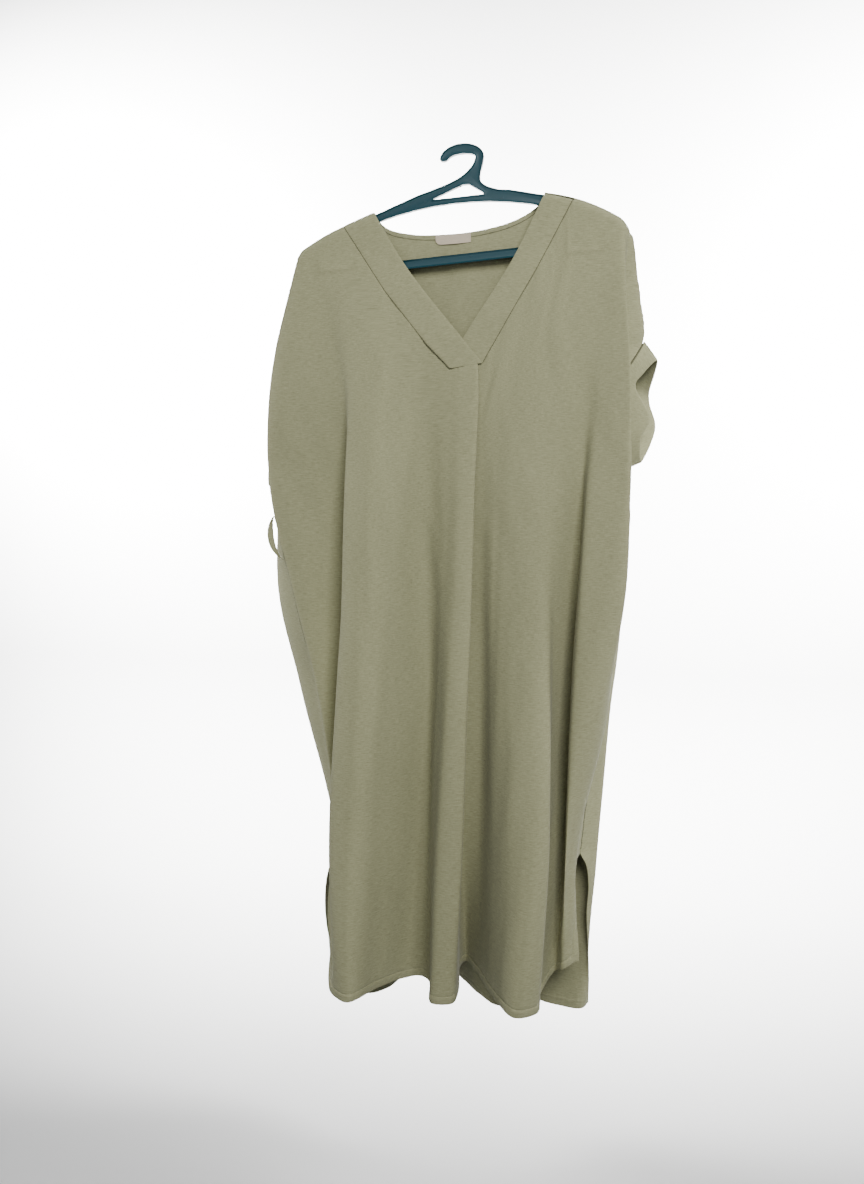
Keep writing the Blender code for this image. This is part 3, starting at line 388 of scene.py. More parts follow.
@dataclass(frozen=True)
class Arm:
    """One arm of the hanger: its slope, its bow and where the cloth turns down.

    The bow is a drop of bow times the square of the distance past its start. The cloth starts to
    round down at the distance tip_start past the arm's end.
    """

    sign: int
    slope: float
    bow_start: float
    bow: float
    tip_start: float


@dataclass
class HangerLine:
    """The line of the hanger's arms, which carries the shoulders.

    rest is the cloth's height over the arms, past_limit how much of the quarter turn a tip shows.
    """

    tilt: float = math.radians(4.6)
    middle: float = -16.0 * MM
    half_width: float = 210.0 * MM
    arm_top: float = -31.5 * MM
    rest: float = 3.6 * MM
    tip_round: float = 15.0 * MM
    arms: tuple[Arm, Arm] = (Arm(-1, 0.302, 150.0 * MM, 2.2, -6.0 * MM),
                             Arm(1, 0.272, 135.0 * MM, 2.6, 2.0 * MM))
    past_limit: float = 0.98

    def turned(self, across: float, height: float) -> Point:
        """A point of the upright hanger, turned about the hook by the tilt."""
        c, s = math.cos(self.tilt), math.sin(self.tilt)
        return across * c - height * s, across * s + height * c

    def height(self, x: Array) -> Array:
        """Height of the cloth over the arms: two slopes that bow down, rounded past the tips.

        Past a tip the cloth follows a quarter circle: the radius less the root of one less the
        square of the distance past it.

        Args:
            x: across, in metres.

        Returns:
            The height at each x.
        """
        x = np.asarray(x, float)
        inner = self.turned(self.middle, self.arm_top)
        result = np.empty_like(x)
        for arm in self.arms:
            outer = self.turned(self.middle + arm.sign * self.half_width,
                                self.arm_top - arm.slope * self.half_width)
            pitch = (outer[1] - inner[1]) / (outer[0] - inner[0])
            distance = np.abs(x - inner[0]) * self.half_width / abs(outer[0] - inner[0])
            bow = arm.bow * np.maximum(distance - arm.bow_start, 0.0) ** 2
            past = (distance - self.half_width - arm.tip_start) / self.tip_round
            past = np.clip(past, 0.0, self.past_limit)
            drop = self.tip_round * (1 - np.sqrt(1 - past ** 2))
            line = inner[1] + pitch * (x - inner[0]) + self.rest - bow - drop
            result = np.where(arm.sign * (x - inner[0]) >= 0, line, result)
        return result

    def seam_normal(self, x: Array) -> Array:
        """Unit normal of the line over the arms, upright and square to its slope.

        Args:
            x: across, in metres.

        Returns:
            One normal for each x.
        """
        step = 0.5 * MM
        slope = (self.height(x + step) - self.height(x - step)) / (2 * step)
        return unit(np.stack([-slope, np.zeros_like(x), np.ones_like(x)], -1))


@dataclass
class DressForm:
    """The hung dress's form: level sections, upper edges and hems.

    Numbers times MM are in metres, the drawn lines, hems and parted_ease in mm. corner_left and
    corner_right are how far the front hem's corners reach in, corner_rise how high the right one
    comes. roll is the drop over which the cloth rounds off the arms.
    """

    line: HangerLine = field(default_factory=HangerLine)
    front_hem: float = -1130.0
    back_hem: float = -1180.0
    corner_left: float = 45.0 * MM
    corner_right: float = 72.0 * MM
    corner_rise: float = 45.0 * MM
    roll: float = 11.0 * MM
    neck_corners: dict[Side, Point] = field(default_factory=lambda: {
        Side.FRONT: (-158.0 * MM, 145.0 * MM), Side.BACK: (-116.0 * MM, 108.0 * MM)})
    seam_left: tuple[Point, ...] = ((-158, -85.8), (-101, -172), (-43, -244), (-13, -274))
    seam_right: tuple[Point, ...] = ((31, -267), (68, -203), (102, -145), (145, -64))
    back_neck: tuple[Point, ...] = (
        (-116, -69.3), (-110, -80), (-98, -89), (-66, -96.5), (-36, -98), (16, -95), (66, -84),
        (95, -69), (108, -55.3))
    binding: float = 7.0 * MM
    binding_taper: float = 12.0 * MM
    parted_ease: float = 8.0

    def folds(self, side: Side, z: Array) -> Array:
        """Every fold's place at given heights.

        Args:
            side: which panel.
            z: heights in mm.

        Returns:
            (across, depth) in mm, (..., folds, 2).
        """
        table = FRONT_FOLDS if side is Side.FRONT else BACK_FOLDS
        hem = self.front_hem if side is Side.FRONT else self.back_hem
        heights = np.array(LEVELS + (hem,))
        return np.stack([smooth_between(heights, np.array(fold.places, float), z) for fold in table], -2)

    def edge(self, table: tuple[EdgeRow, ...], z: Array, side: Side) -> Array:
        """The panel's side edge at heights z in mm.

        The drawn rows are joined by smooth pieces. Where both rows of a span are shared by front
        and back, both take the mean, so that the panels stay on one line.

        Args:
            table: rows of the left or the right edge.
            z: heights in mm.
            side: which panel.

        Returns:
            (across, depth) in mm.
        """
        heights = np.array([row.height for row in table])
        front = np.array([row.front for row in table], float)
        back = np.array([row.back for row in table], float)
        shared = np.linalg.norm(front - back, axis=1) < 0.5
        index = np.clip(np.searchsorted(-heights, -z, side="right") - 1, 0, len(heights) - 2)
        joined = (shared[index] & shared[index + 1])[..., None]
        ends = smooth_between(heights, front, z), smooth_between(heights, back, z)
        own = ends[0] if side is Side.FRONT else ends[1]
        return np.where(joined, (ends[0] + ends[1]) / 2, own)

    def section(self, side: Side, z: Array) -> Array:
        """Drawn points of one panel's level section.

        The guide past an edge is the other panel's next fold where the panels are joined, and
        the own fold mirrored about the edge where they are parted.

        Args:
            side: which panel.
            z: heights in mm.

        Returns:
            Guide, edge, folds, edge and guide in mm, (..., points, 2).
        """
        other = Side.BACK if side is Side.FRONT else Side.FRONT
        inner, beyond = self.folds(side, z), self.folds(other, z)
        ends = []
        for table, near, far in ((LEFT_EDGE, inner[..., 0, :], beyond[..., 0, :]),
                                 (RIGHT_EDGE, inner[..., -1, :], beyond[..., -1, :])):
            edge = self.edge(table, z, side)
            gap = self.edge(table, z, Side.FRONT) - self.edge(table, z, Side.BACK)
            free = np.clip(np.linalg.norm(gap, axis=-1) / self.parted_ease, 0.0, 1.0)[..., None]
            ends.append((edge, (1 - free) * far + free * (2 * edge - near)))
        (left, left_guide), (right, right_guide) = ends
        return np.concatenate([left_guide[..., None, :], left[..., None, :], inner,
                               right[..., None, :], right_guide[..., None, :]], -2)

    def cross(self, side: Side, s: Array, z: Array) -> tuple[Array, Array]:
        """A panel's surface at column s and height z.

        Args:
            side: which panel.
            s: the column's parameter, 0 at the left edge, one more at each fold.
            z: height in metres.

        Returns:
            Places and directions (across, depth) in metres, (..., 2).
        """
        s, z = np.broadcast_arrays(np.asarray(s, float), np.asarray(z, float))
        place, direction = curve_through(self.section(side, z.ravel() / MM), s.ravel())
        shape = s.shape + (2,)
        return place.reshape(shape) * MM, direction.reshape(shape) * MM

    def neck_edge(self, x: Array) -> Array:
        """Height of the back neck's upper edge."""
        line = smooth_line(self.back_neck, 90) * MM
        return np.interp(x, line[:, 0], line[:, 1])

    def binding_width(self, x: Array) -> Array:
        """Width of the back neck binding, which narrows into its shoulder ends.

        Args:
            x: across, in metres.

        Returns:
            The width at each x.
        """
        left, right = self.neck_corners[Side.BACK]
        inset = np.minimum(x - left, right - x)
        share = np.clip(inset / self.binding_taper, 0.2, 1.0)
        return self.binding * np.where(inset > 2 * MM, share, 0.0)

    def top(self, side: Side, x: Array) -> Array:
        """Height of a panel's upper edge: shoulders, and the neck's seams between its corners.

        Args:
            side: which panel.
            x: across, in metres.

        Returns:
            The height at each x.
        """
        x = np.asarray(x, float)
        shoulder = self.line.height(x)
        left, right = self.neck_corners[side]
        if side is Side.FRONT:
            drawn = np.array(self.seam_left + self.seam_right, float) * MM
            neck = np.interp(x, drawn[:, 0], drawn[:, 1])
            inside = (x > left) & (x < right)
        else:
            neck = self.neck_edge(x) - self.binding_width(x)
            inside = (x > left + 0.3 * MM) & (x < right - 0.3 * MM)
        return np.where(inside, np.minimum(neck, shoulder), shoulder)

    def column_top(self, side: Side, s: Array) -> Array:
        """Height at which each column meets the upper edge, by repeated substitution.

        Args:
            side: which panel.
            s: the columns' parameters.

        Returns:
            The height of each column's upper end.
        """
        z = np.full(np.shape(s), -0.12)
        for _ in range(16):
            z = 0.3 * z + 0.7 * self.top(side, self.cross(side, s, z)[0][..., 0])
        return z

    def columns_at(self, side: Side, goals: list[float], low: float, high: float) -> list[float]:
        """The columns whose tops lie at given places.

        Args:
            side: which panel.
            goals: the places across, in metres.
            low: the first column to look at.
            high: the last column to look at.

        Returns:
            One column parameter for each goal.
        """
        s = np.linspace(low, high, 241)
        x = self.cross(side, s, self.column_top(side, s))[0][:, 0]
        return list(np.interp(goals, np.maximum.accumulate(x), s))


@dataclass
class Cloth:
    """A grid of cloth with what its finish needs.

    places and normals are (columns, rows, 3); weave is the thread coordinate (columns, rows, 2)
    in metres; hem and side are the distances to the stitched hem and to the side edge.
    """

    places: Array
    normals: Array
    weave: Array
    hem: Array
    side: Array


class Weaver:
    """Turns grids of cloth into thin closed walls with their thread coordinates."""

    @staticmethod
    def normals(places: Array, closed: bool, like: Array | None = None) -> Array:
        """Unit normals of a grid, by the cross product of its two directions.

        Args:
            places: the grid, (columns, rows, 3).
            closed: whether the last column joins the first.
            like: directions that the normals should agree with on the whole.

        Returns:
            One normal for each place.
        """
        along = np.roll(places, -1, 0) - np.roll(places, 1, 0) if closed else np.gradient(places, axis=0)
        found = unit(np.cross(along, np.gradient(places, axis=1)))
        if like is not None and (found * like).sum() < 0:
            found = -found
        return found

    @staticmethod
    def wall(name: str, cloth: Cloth, thickness: Array | float, closed: bool = False) -> bpy.types.Object:
        """A closed wall: the grid moved half its thickness each way, and joined round its edges.

        Args:
            name: the new object's name.
            cloth: the middle surface.
            thickness: one value, or one for each grid point, in metres.
            closed: whether the last column joins the first.

        Returns:
            The new object, at the origin.
        """
        columns, rows = cloth.places.shape[:2]
        half = np.broadcast_to(np.asarray(thickness, float), (columns, rows))[..., None] / 2
        outer = (cloth.places + cloth.normals * half).reshape(-1, 3)
        inner = (cloth.places - cloth.normals * half).reshape(-1, 3)
        size = columns * rows
        index = np.arange(size).reshape(columns, rows)
        here, after = index, np.roll(index, -1, 0)
        if not closed:
            here, after = here[:-1], after[:-1]
        skin = np.stack([here[:, :-1], here[:, 1:], after[:, 1:], after[:, :-1]], -1).reshape(-1, 4)
        top = np.stack([here[:, 0], after[:, 0], after[:, 0] + size, here[:, 0] + size], -1)
        low = np.stack([here[:, -1], here[:, -1] + size, after[:, -1] + size, after[:, -1]], -1)
        quads = [skin, skin[:, ::-1] + size, top, low]
        if not closed:
            first, last = index[0], index[-1]
            quads.append(np.stack([first[:-1], first[:-1] + size, first[1:] + size, first[1:]], -1))
            quads.append(np.stack([last[:-1], last[1:], last[1:] + size, last[:-1] + size], -1))
        faces = np.concatenate(quads)
        corner = cloth.places.reshape(-1, 3)[skin]
        facing = np.cross(corner[:, 1] - corner[:, 0], corner[:, 3] - corner[:, 0])
        if (facing * cloth.normals.reshape(-1, 3)[skin[:, 0]]).sum() < 0:
            faces = faces[:, ::-1]
        mesh = bpy.data.meshes.new(name)
        mesh.vertices.add(2 * size)
        mesh.vertices.foreach_set("co", np.concatenate([outer, inner]).ravel())
        mesh.loops.add(faces.size)
        mesh.loops.foreach_set("vertex_index", np.ascontiguousarray(faces).ravel())
        mesh.polygons.add(len(faces))
        mesh.polygons.foreach_set("loop_start", np.arange(0, faces.size, 4))
        mesh.update(calc_edges=True)
        weave = np.concatenate([cloth.weave.reshape(-1, 2)] * 2)
        layer = mesh.uv_layers.new(name="weave")
        layer.data.foreach_set("uv", weave[np.ascontiguousarray(faces).ravel()].ravel())
        for label, values in (("hem", cloth.hem), ("side", cloth.side)):
            layer = mesh.attributes.new(label, "FLOAT", "POINT")
            layer.data.foreach_set("value", np.concatenate([values.ravel()] * 2))
        mesh.shade_smooth()
        mesh.set_sharp_from_angle(angle=math.radians(60))
        result = bpy.data.objects.new(name, mesh)
        bpy.context.collection.objects.link(result)
        return result

    @staticmethod
    def area(places: Array, closed: bool = False) -> float:
        """Area of a grid, as the sum of its quads' cross products.

        Args:
            places: the grid, (columns, rows, 3).
            closed: whether the last column joins the first.

        Returns:
            The area in square metres.
        """
        if closed:
            places = np.concatenate([places, places[:1]])
        a = places[1:, :-1] - places[:-1, :-1]
        b = places[:-1, 1:] - places[:-1, :-1]
        return float(np.linalg.norm(np.cross(a, b), axis=-1).sum())


def ripple(along: Array, length: float) -> Array:
    """Uneven ripple of about one wave per length: a sine whose phase drifts by two slower sines.

    Args:
        along: the run, in metres.
        length: the mean length of a wave, in metres.

    Returns:
        The ripple, between -1 and 1.
    """
    turns = 2 * np.pi * along / length
    return np.sin(turns + 1.4 * np.sin(turns * 0.31) + 0.9 * np.sin(turns * 0.137 + 1.0))


@dataclass(frozen=True)
class Sewing:
    """How a seam marks the cloth, in metres: puckers that die away from it, and a groove."""

    pucker: float
    wave: float
    reach: float
    sink: float
    sink_reach: float
    power: float = 1.0

    def marks(self, along: Array, away: Array) -> Array:
        """Height of the marks: ripple and groove, each times exp(-(away / reach) ^ power).

        Args:
            along: the run along the seam, in metres.
            away: the distance from it, in metres.

        Returns:
            The height over the plain cloth, in metres.
        """
        away = np.abs(away)
        puckers = self.pucker * ripple(along, self.wave) * np.exp(-(away / self.reach) ** self.power)
        return puckers - self.sink * np.exp(-(away / self.sink_reach) ** self.power)


@dataclass(frozen=True)
class Slack:
    """The unevenness of hanging cloth: long, mostly upright waves, in metres."""

    seed: int
    height: float = 0.2 * MM
    waves: int = 9
    across: Point = (38.0, 95.0)
    down: Point = (160.0, 420.0)
    drift: float = 0.8

    def waves_at(self, across: Array, z: Array) -> Array:
        """The waves' sum: sines across the cloth that lean, and drift with the height.

        Args:
            across: the run across the cloth, in metres.
            z: the height, in metres.

        Returns:
            The height over the plain cloth, in metres.
        """
        rng = np.random.default_rng(self.seed)
        total = np.zeros(z.shape)
        for _ in range(self.waves):
            wide, tall = rng.uniform(*self.across) * MM, rng.uniform(*self.down) * MM
            lean, phase = rng.uniform(-1, 1), rng.uniform(0, 2 * np.pi)
            drift = self.drift * np.sin(z * 2 * np.pi / tall + phase)
            total += np.sin(2 * np.pi * across / wide + lean * z / wide + drift + phase)
        return self.height * total


@dataclass
class Panel:
    """One panel of the dress with its half sleeves, hem and slit edges.

    middle is the wall's middle surface as a grid (columns, rows, 3) and normals point outwards.
    """

    form: DressForm
    side: Side
    column_pitch: float = 4.6 * MM
    row_pitch: float = 6.6 * MM
    yoke_pitch: float = 2.6 * MM
    yoke_end: float = -162.0 * MM
    sizing_levels: tuple[float, ...] = (-0.43, -0.72, -0.93, -1.10)
    wall: float = 1.0 * MM
    hem_wall: float = 1.6 * MM
    hem_turn: float = 11.0 * MM
    hem_lift: float = 0.25 * MM
    seam_gap: float = 0.3 * MM
    shoulder_fade: float = 120.0 * MM
    pleat_fold: float = 9.5
    hem_sewing: Sewing = Sewing(0.22 * MM, 8.5 * MM, 7 * MM, 0.4 * MM, 0.9 * MM, 2.0)
    side_sewing: Sewing = Sewing(0.35 * MM, 13 * MM, 9 * MM, 0.5 * MM, 1.6 * MM)
    neck_sewing: Sewing = Sewing(0.3 * MM, 9 * MM, 10 * MM, 0.4 * MM, 1.5 * MM)
    levels: Array = field(init=False)
    s: Array = field(init=False)
    middle: Array = field(init=False)
    normals: Array = field(init=False)
    run: Array = field(init=False)

    def __post_init__(self) -> None:
        """Lays out the grid, rolls it over the arms and finds its normals."""
        form, side = self.form, self.side
        self.s = self.columns()
        top = form.column_top(side, self.s)
        z = self.rows(top)
        place, _ = form.cross(side, self.s[:, None], z)
        grid = np.concatenate([place, z[..., None]], -1)
        drop = np.clip((form.line.height(grid[..., 0]) - z) / form.roll, 0.0, 1.0)
        roll = np.sqrt(1 - (1 - drop) ** 2)
        half_gap = np.full(z.shape, self.seam_gap / 2 * (-1 if side is Side.FRONT else 1))
        half_gap[0], half_gap[-1] = 0.0, 0.0
        grid[..., 1] = half_gap + (grid[..., 1] - half_gap) * roll
        outward = np.array([0.0, -1.0 if side is Side.FRONT else 1.0, 0.0])
        normals = Weaver.normals(grid, False, outward)
        edge = roll[:, :1]
        normals[:, 0] = unit(form.line.seam_normal(grid[:, 0, 0]) * (1 - edge) + normals[:, 0] * edge)
        self.middle, self.normals = grid, normals
        step = np.linalg.norm(np.diff(grid, axis=0), axis=-1)
        self.run = np.concatenate([np.zeros((1, z.shape[1])), np.cumsum(step, axis=0)])

    def columns(self) -> Array:
        """Column parameters: one on every fold and neck corner, evenly filled between.

        The columns between two marks are as many as the longest level run there needs.

        Returns:
            The parameters, rising, with a few more close to each side edge.
        """
        form, side = self.form, self.side
        left, right = form.neck_corners[side]
        steps = np.array(BESIDE_CORNER) * MM
        if side is Side.FRONT:
            fixed = form.columns_at(side, list(left + steps), 2, 5)
            fixed += form.columns_at(side, [form.seam_left[-1][0] * MM], 6, 8)
            fixed += form.columns_at(side, [form.seam_right[0][0] * MM], 13, 14)
            fixed += form.columns_at(side, list(right - steps), 15, 19)
            count = len(FRONT_FOLDS)
        else:
            fixed = form.columns_at(side, list(left + steps), 3, 5)
            fixed += form.columns_at(side, list(right - steps), 6, 8)
            count = len(BACK_FOLDS)
        fixed = np.array(sorted(fixed))
        plain = [float(mark) for mark in range(count + 2) if np.abs(fixed - mark).min() > 0.06]
        marks = np.sort(np.concatenate([fixed, plain]))
        columns = [marks[0]]
        share = np.linspace(0, 1, 17)
        for start, end in zip(marks[:-1], marks[1:]):
            s = start + (end - start) * share
            lengths = []
            for level in self.sizing_levels:
                line = form.cross(side, s, np.full(s.shape, level))[0]
                lengths.append(np.linalg.norm(np.diff(line, axis=0), axis=1).sum())
            pieces = max(1, math.ceil(max(lengths) / self.column_pitch), math.ceil((end - start) / 0.25))
            columns += list(start + (end - start) * np.arange(1, pieces + 1) / pieces)
        first, last = columns[1] - columns[0], columns[-1] - columns[-2]
        close = np.array([0.12, 0.3, 0.6])
        return np.sort(np.concatenate([columns, columns[0] + first * close, columns[-1] - last * close]))

    def hem_height(self) -> Array:
        """Height of the hem below each column.

        It is level, but the front's left corner is a quarter circle and its right one rises as
        a sine.

        Returns:
            The hem's height for each column, in metres.
        """
        form = self.form
        hem = (form.front_hem if self.side is Side.FRONT else form.back_hem) * MM
        bottom = np.full(self.s.shape, hem)
        if self.side is Side.FRONT:
            run = run_of(form.cross(self.side, self.s, bottom)[0])
            left = np.clip(1 - run / form.corner_left, 0.0, 1.0)
            right = np.clip(1 - (run[-1] - run) / form.corner_right, 0.0, 1.0)
            bottom = hem + form.corner_left * (1 - np.sqrt(1 - left ** 2))
            bottom += form.corner_rise * np.sin(right * np.pi / 2)
        return bottom

    def rows(self, top: Array) -> Array:
        """Heights of every grid point.

        Rows lie close together under the upper edge and at the hem. Between them they keep level
        at both sides, with rows on the sleeve openings' ends and the slits' top.

        Args:
            top: the height of each column's upper end.

        Returns:
            The heights, (columns, rows).
        """
        ends = np.array([SLEEVE_TOP, RIGHT_SLEEVE_END, LEFT_SLEEVE_END, SLIT_TOP]) * MM
        anchors = np.concatenate([[self.yoke_end], ends])
        pitches = np.array([self.yoke_pitch] + [self.row_pitch] * (len(anchors) - 2))
        parts = [np.linspace(a, b, max(2, round((a - b) / pitch) + 1))[:-1]
                 for a, b, pitch in zip(anchors[:-1], anchors[1:], pitches)]
        self.levels = np.concatenate(parts + [anchors[-1:]])
        upper = top[:, None] - np.array(UNDER_EDGE) * MM
        level = np.linspace(upper[0, -1], upper[-1, -1], len(top))[:, None]
        share = (self.levels - level) / (self.levels[-1] - level)
        body = upper[:, -1:] + share * (self.levels[-1] - upper[:, -1:])
        bottom = self.hem_height()[:, None]
        closing = np.array(OVER_HEM) * MM
        free = self.levels[-1] - (bottom + closing[0])
        count = round(float(free.max()) / self.row_pitch)
        slit = self.levels[-1] - free * np.arange(1, count) / count
        return np.concatenate([upper, body, slit, bottom + closing], 1)

    def sleeve_rows(self, bottom: float) -> Array:
        """Row numbers of a sleeve opening, from its top down to the height bottom in metres."""
        z = self.middle[0, :, 2]
        return np.where((z < SLEEVE_TOP * MM + 1e-6) & (z > bottom - 1e-6))[0]

    def column_near(self, x: float) -> int:
        """The column whose upper end is nearest to x."""
        return int(np.argmin(np.abs(self.middle[:, 0, 0] - x)))

    def edge_distances(self) -> tuple[Array, Array]:
        """How far each point lies from the hemmed edges, and from the side edges.

        The side edges count as hemmed below the slits' top, with a soft start.

        Returns:
            Both distances for each grid point, in metres.
        """
        side = np.minimum(self.run, self.run[-1:] - self.run)
        down = self.middle[..., 2] - self.middle[:, -1:, 2]
        below = ease((self.levels[-1] + 12 * MM - self.middle[..., 2]) / (24 * MM))
        return np.minimum(down, side + (1 - below) * 0.1), side

    def relief(self) -> Array:
        """Height of creases, hem stitching and seam puckers over the plain form.

        A crease is a bell, exp(-(distance / width) ^ 2), that tapers to its ends as a root of a
        sine and eases out past its folds.

        Returns:
            The height for each grid point, in metres.
        """
        x, z = self.middle[..., 0], self.middle[..., 2]
        fold = self.s[:, None] - 1
        total = np.zeros(x.shape)
        for crease in FRONT_CREASES if self.side is Side.FRONT else BACK_CREASES:
            gap, share = distance_to_line(x, z, crease.line)
            first, last = crease.folds
            inside = ease((fold - first) / 0.5 + 1) * ease((last - fold) / 0.5 + 1)
            taper = np.sin(np.pi * np.clip(share, 0.02, 0.98)) ** 0.6
            total += crease.relief * MM * np.exp(-(gap / (crease.width * MM)) ** 2) * taper * inside
        front = self.side is Side.FRONT
        hush = ease(np.abs(fold - self.pleat_fold) / 3 - 0.3) if front else 1.0
        fade = ease((self.form.line.height(x) - z) / self.shoulder_fade)
        total += Slack(11 if front else 23).waves_at(self.run, z) * fade * hush
        hem, side = self.edge_distances()
        total += self.hem_lift * ease((self.hem_turn - hem) / (2 * MM))
        total += self.hem_sewing.marks(np.where(hem < side, self.run, z), hem - self.hem_turn)
        total += self.side_sewing.marks(z, side) * (z > self.levels[-1])
        if front:
            left, right = self.form.neck_corners[self.side]
            under = np.linalg.norm(self.middle - self.middle[:, :1], axis=-1)
            neck = (x > left) & (x < right) & (self.s[:, None] > 0)
            total += neck * self.neck_sewing.marks(x, under)
        return total

    def build(self, name: str) -> bpy.types.Object:
        """The panel's wall, half a seam gap short of its side seams.

        Args:
            name: the piece's name.

        Returns:
            The new object.
        """
        hem, side = self.edge_distances()
        places = self.middle + self.normals * self.relief()[..., None]
        for edge, inner in ((0, 1), (-1, -2)):
            places[edge] += unit(places[inner] - places[edge]) * self.seam_gap / 2
        wall = self.wall + (self.hem_wall - self.wall) * ease((self.hem_turn - hem) / (1.5 * MM))
        rim = np.minimum(hem, side)
        wall = wall * (0.45 + 0.55 * ease(rim / (1.6 * MM)))
        weave = np.stack([self.run, self.middle[..., 2]], -1)
        # The distance to the side seam above the slits; the cloth finish paints a thin line of shade along
        # it.
        seam = np.where(self.middle[..., 2] > self.levels[-1], side, FAR)
        cloth = Cloth(places, self.normals, weave, hem, seam)
        LOG.info("%s: %d columns, %d rows, %.3f square metres", name, *places.shape[:2],
                 Weaver.area(places))
        return Weaver.wall(name, cloth, wall)


def plain_cloth(places: Array, normals: Array, along: Array, across: Array) -> Cloth:
    """A Cloth without stitched hems.

    Args:
        places: the grid, (columns, rows, 3).
        normals: one for each place.
        along: the first thread coordinate, in metres.
        across: the second one.

    Returns:
        The cloth, with no hem or seam near.
    """
    weave = np.stack(np.broadcast_arrays(along, across), -1)
    away = np.full(places.shape[:2], FAR)
    return Cloth(places, normals, weave, away, away)


def puffed(grid: Array, normals: Array, share: Array, run: Array, puff: float, seam: Sewing) -> Array:
    """A narrow band's grid, raised as a pressed double layer and puckered along its seam.

    The raise is the puff times a root of the sine of the share; seam's reach is a share of the
    band's width here.

    Args:
        grid: the band, (columns, rows, 3).
        normals: one for each place.
        share: each row's share of the width, from the seam.
        run: each column's run along the seam, in metres.
        puff: the raise at the middle, in metres.
        seam: the seam's puckers.

    Returns:
        The raised grid.
    """
    relief = puff * np.sin(np.pi * share) ** 0.6
    relief = relief + seam.marks(run[:, None], share)
    return grid + normals * relief[..., None]


def band_wall(wall: float, share: Array) -> Array:
    """A band's thickness in metres: the wall, less at its seam and free edge."""
    return wall * (0.4 + 0.6 * np.minimum(ease(share / 0.06), ease((1 - share) / 0.05)))


@dataclass
class NeckBand:
    """A shaped band from the front's upper edge to its drawn inner edge."""

    form: DressForm
    front: Panel
    kind: Band
    wall: float = 1.7 * MM
    seam_gap: float = 0.1 * MM
    lap_start: float = 200.0 * MM
    lap_ease: float = 35.0 * MM
    lap_shift: float = 1.6 * MM
    puff: float = 0.35 * MM
    sewing: Sewing = Sewing(0.2 * MM, 10 * MM, 0.22, 0.0, 1.0)
    over_edge: tuple[Point, ...] = ((-116, -69.3), (-71, -142), (4, -235), (31, -267))
    under_edge: tuple[Point, ...] = ((-10, -262), (4, -235), (67, -137), (108, -55.3))

    @staticmethod
    def depth(z: Array) -> Array:
        """Depth of the neck's inner edges, which lean out a little below the bar."""
        return np.interp(-z, (0.12, 0.29), (-9 * MM, -17 * MM))

    def build(self) -> bpy.types.Object:
        """The band's wall: the seam and the inner edge joined by straight lines, then rolled.

        Returns:
            The new object.
        """
        form, front = self.form, self.front
        left, right = form.neck_corners[Side.FRONT]
        over = self.kind is Band.OVER
        if over:
            start, end = front.column_near(left), front.column_near(form.seam_left[-1][0] * MM)
        else:
            start, end = front.column_near(form.seam_right[0][0] * MM), front.column_near(right)
        outer = front.middle[start:end + 1, 0].copy()
        run = run_of(outer)
        drawn = resample(smooth_line(self.over_edge if over else self.under_edge) * MM, run / run[-1])
        inner = np.stack([drawn[:, 0], self.depth(drawn[:, 1]), drawn[:, 1]], -1)
        share = np.array(BAND_SHARES)[None, :, None]
        grid = outer[:, None] * (1 - share) + inner[:, None] * share
        flat = np.minimum(outer[:, 1], self.depth(outer[:, 2]))
        grid[:, 1:, 1] = flat[:, None] * (1 - share[:, 1:, 0]) + inner[:, None, 1] * share[:, 1:, 0]
        top = form.line.height(grid[..., 0])
        grid[..., 2] = np.minimum(grid[..., 2], top)
        drop = np.clip((top - grid[..., 2]) / form.roll, 0.0, 1.0)
        roll = np.sqrt(1 - (1 - drop) ** 2)
        grid[:, 1:, 1] = -self.seam_gap / 2 + (grid[:, 1:, 1] + self.seam_gap / 2) * roll[:, 1:]
        lap = ease((-grid[..., 2] - self.lap_start) / self.lap_ease)
        grid[..., 1] += (-1 if over else 1) * self.lap_shift * lap
        normals = Weaver.normals(grid, False, np.array([0.0, -1.0, 0.0]))
        normals[:, 0] = front.normals[start:end + 1, 0]
        shoulder = 0 if over else -1
        normals[shoulder] = form.line.seam_normal(grid[shoulder, :, 0])
        t = share[..., 0] * np.ones(grid.shape[:2])
        grid = puffed(grid, normals, t, run, self.puff, self.sewing)
        grid[:, 0] += unit(grid[:, 1] - grid[:, 0]) * self.seam_gap
        width = np.linalg.norm(outer - inner, axis=1)[:, None]
        LOG.info("%s: %.4f square metres", self.kind.value, Weaver.area(grid))
        cloth = plain_cloth(grid, normals, t * width, run[:, None])
        # The distance from the band's seam; the cloth finish paints a thin line of shade along it.
        cloth.side = t * width
        return Weaver.wall(self.kind.value, cloth, band_wall(self.wall, t))


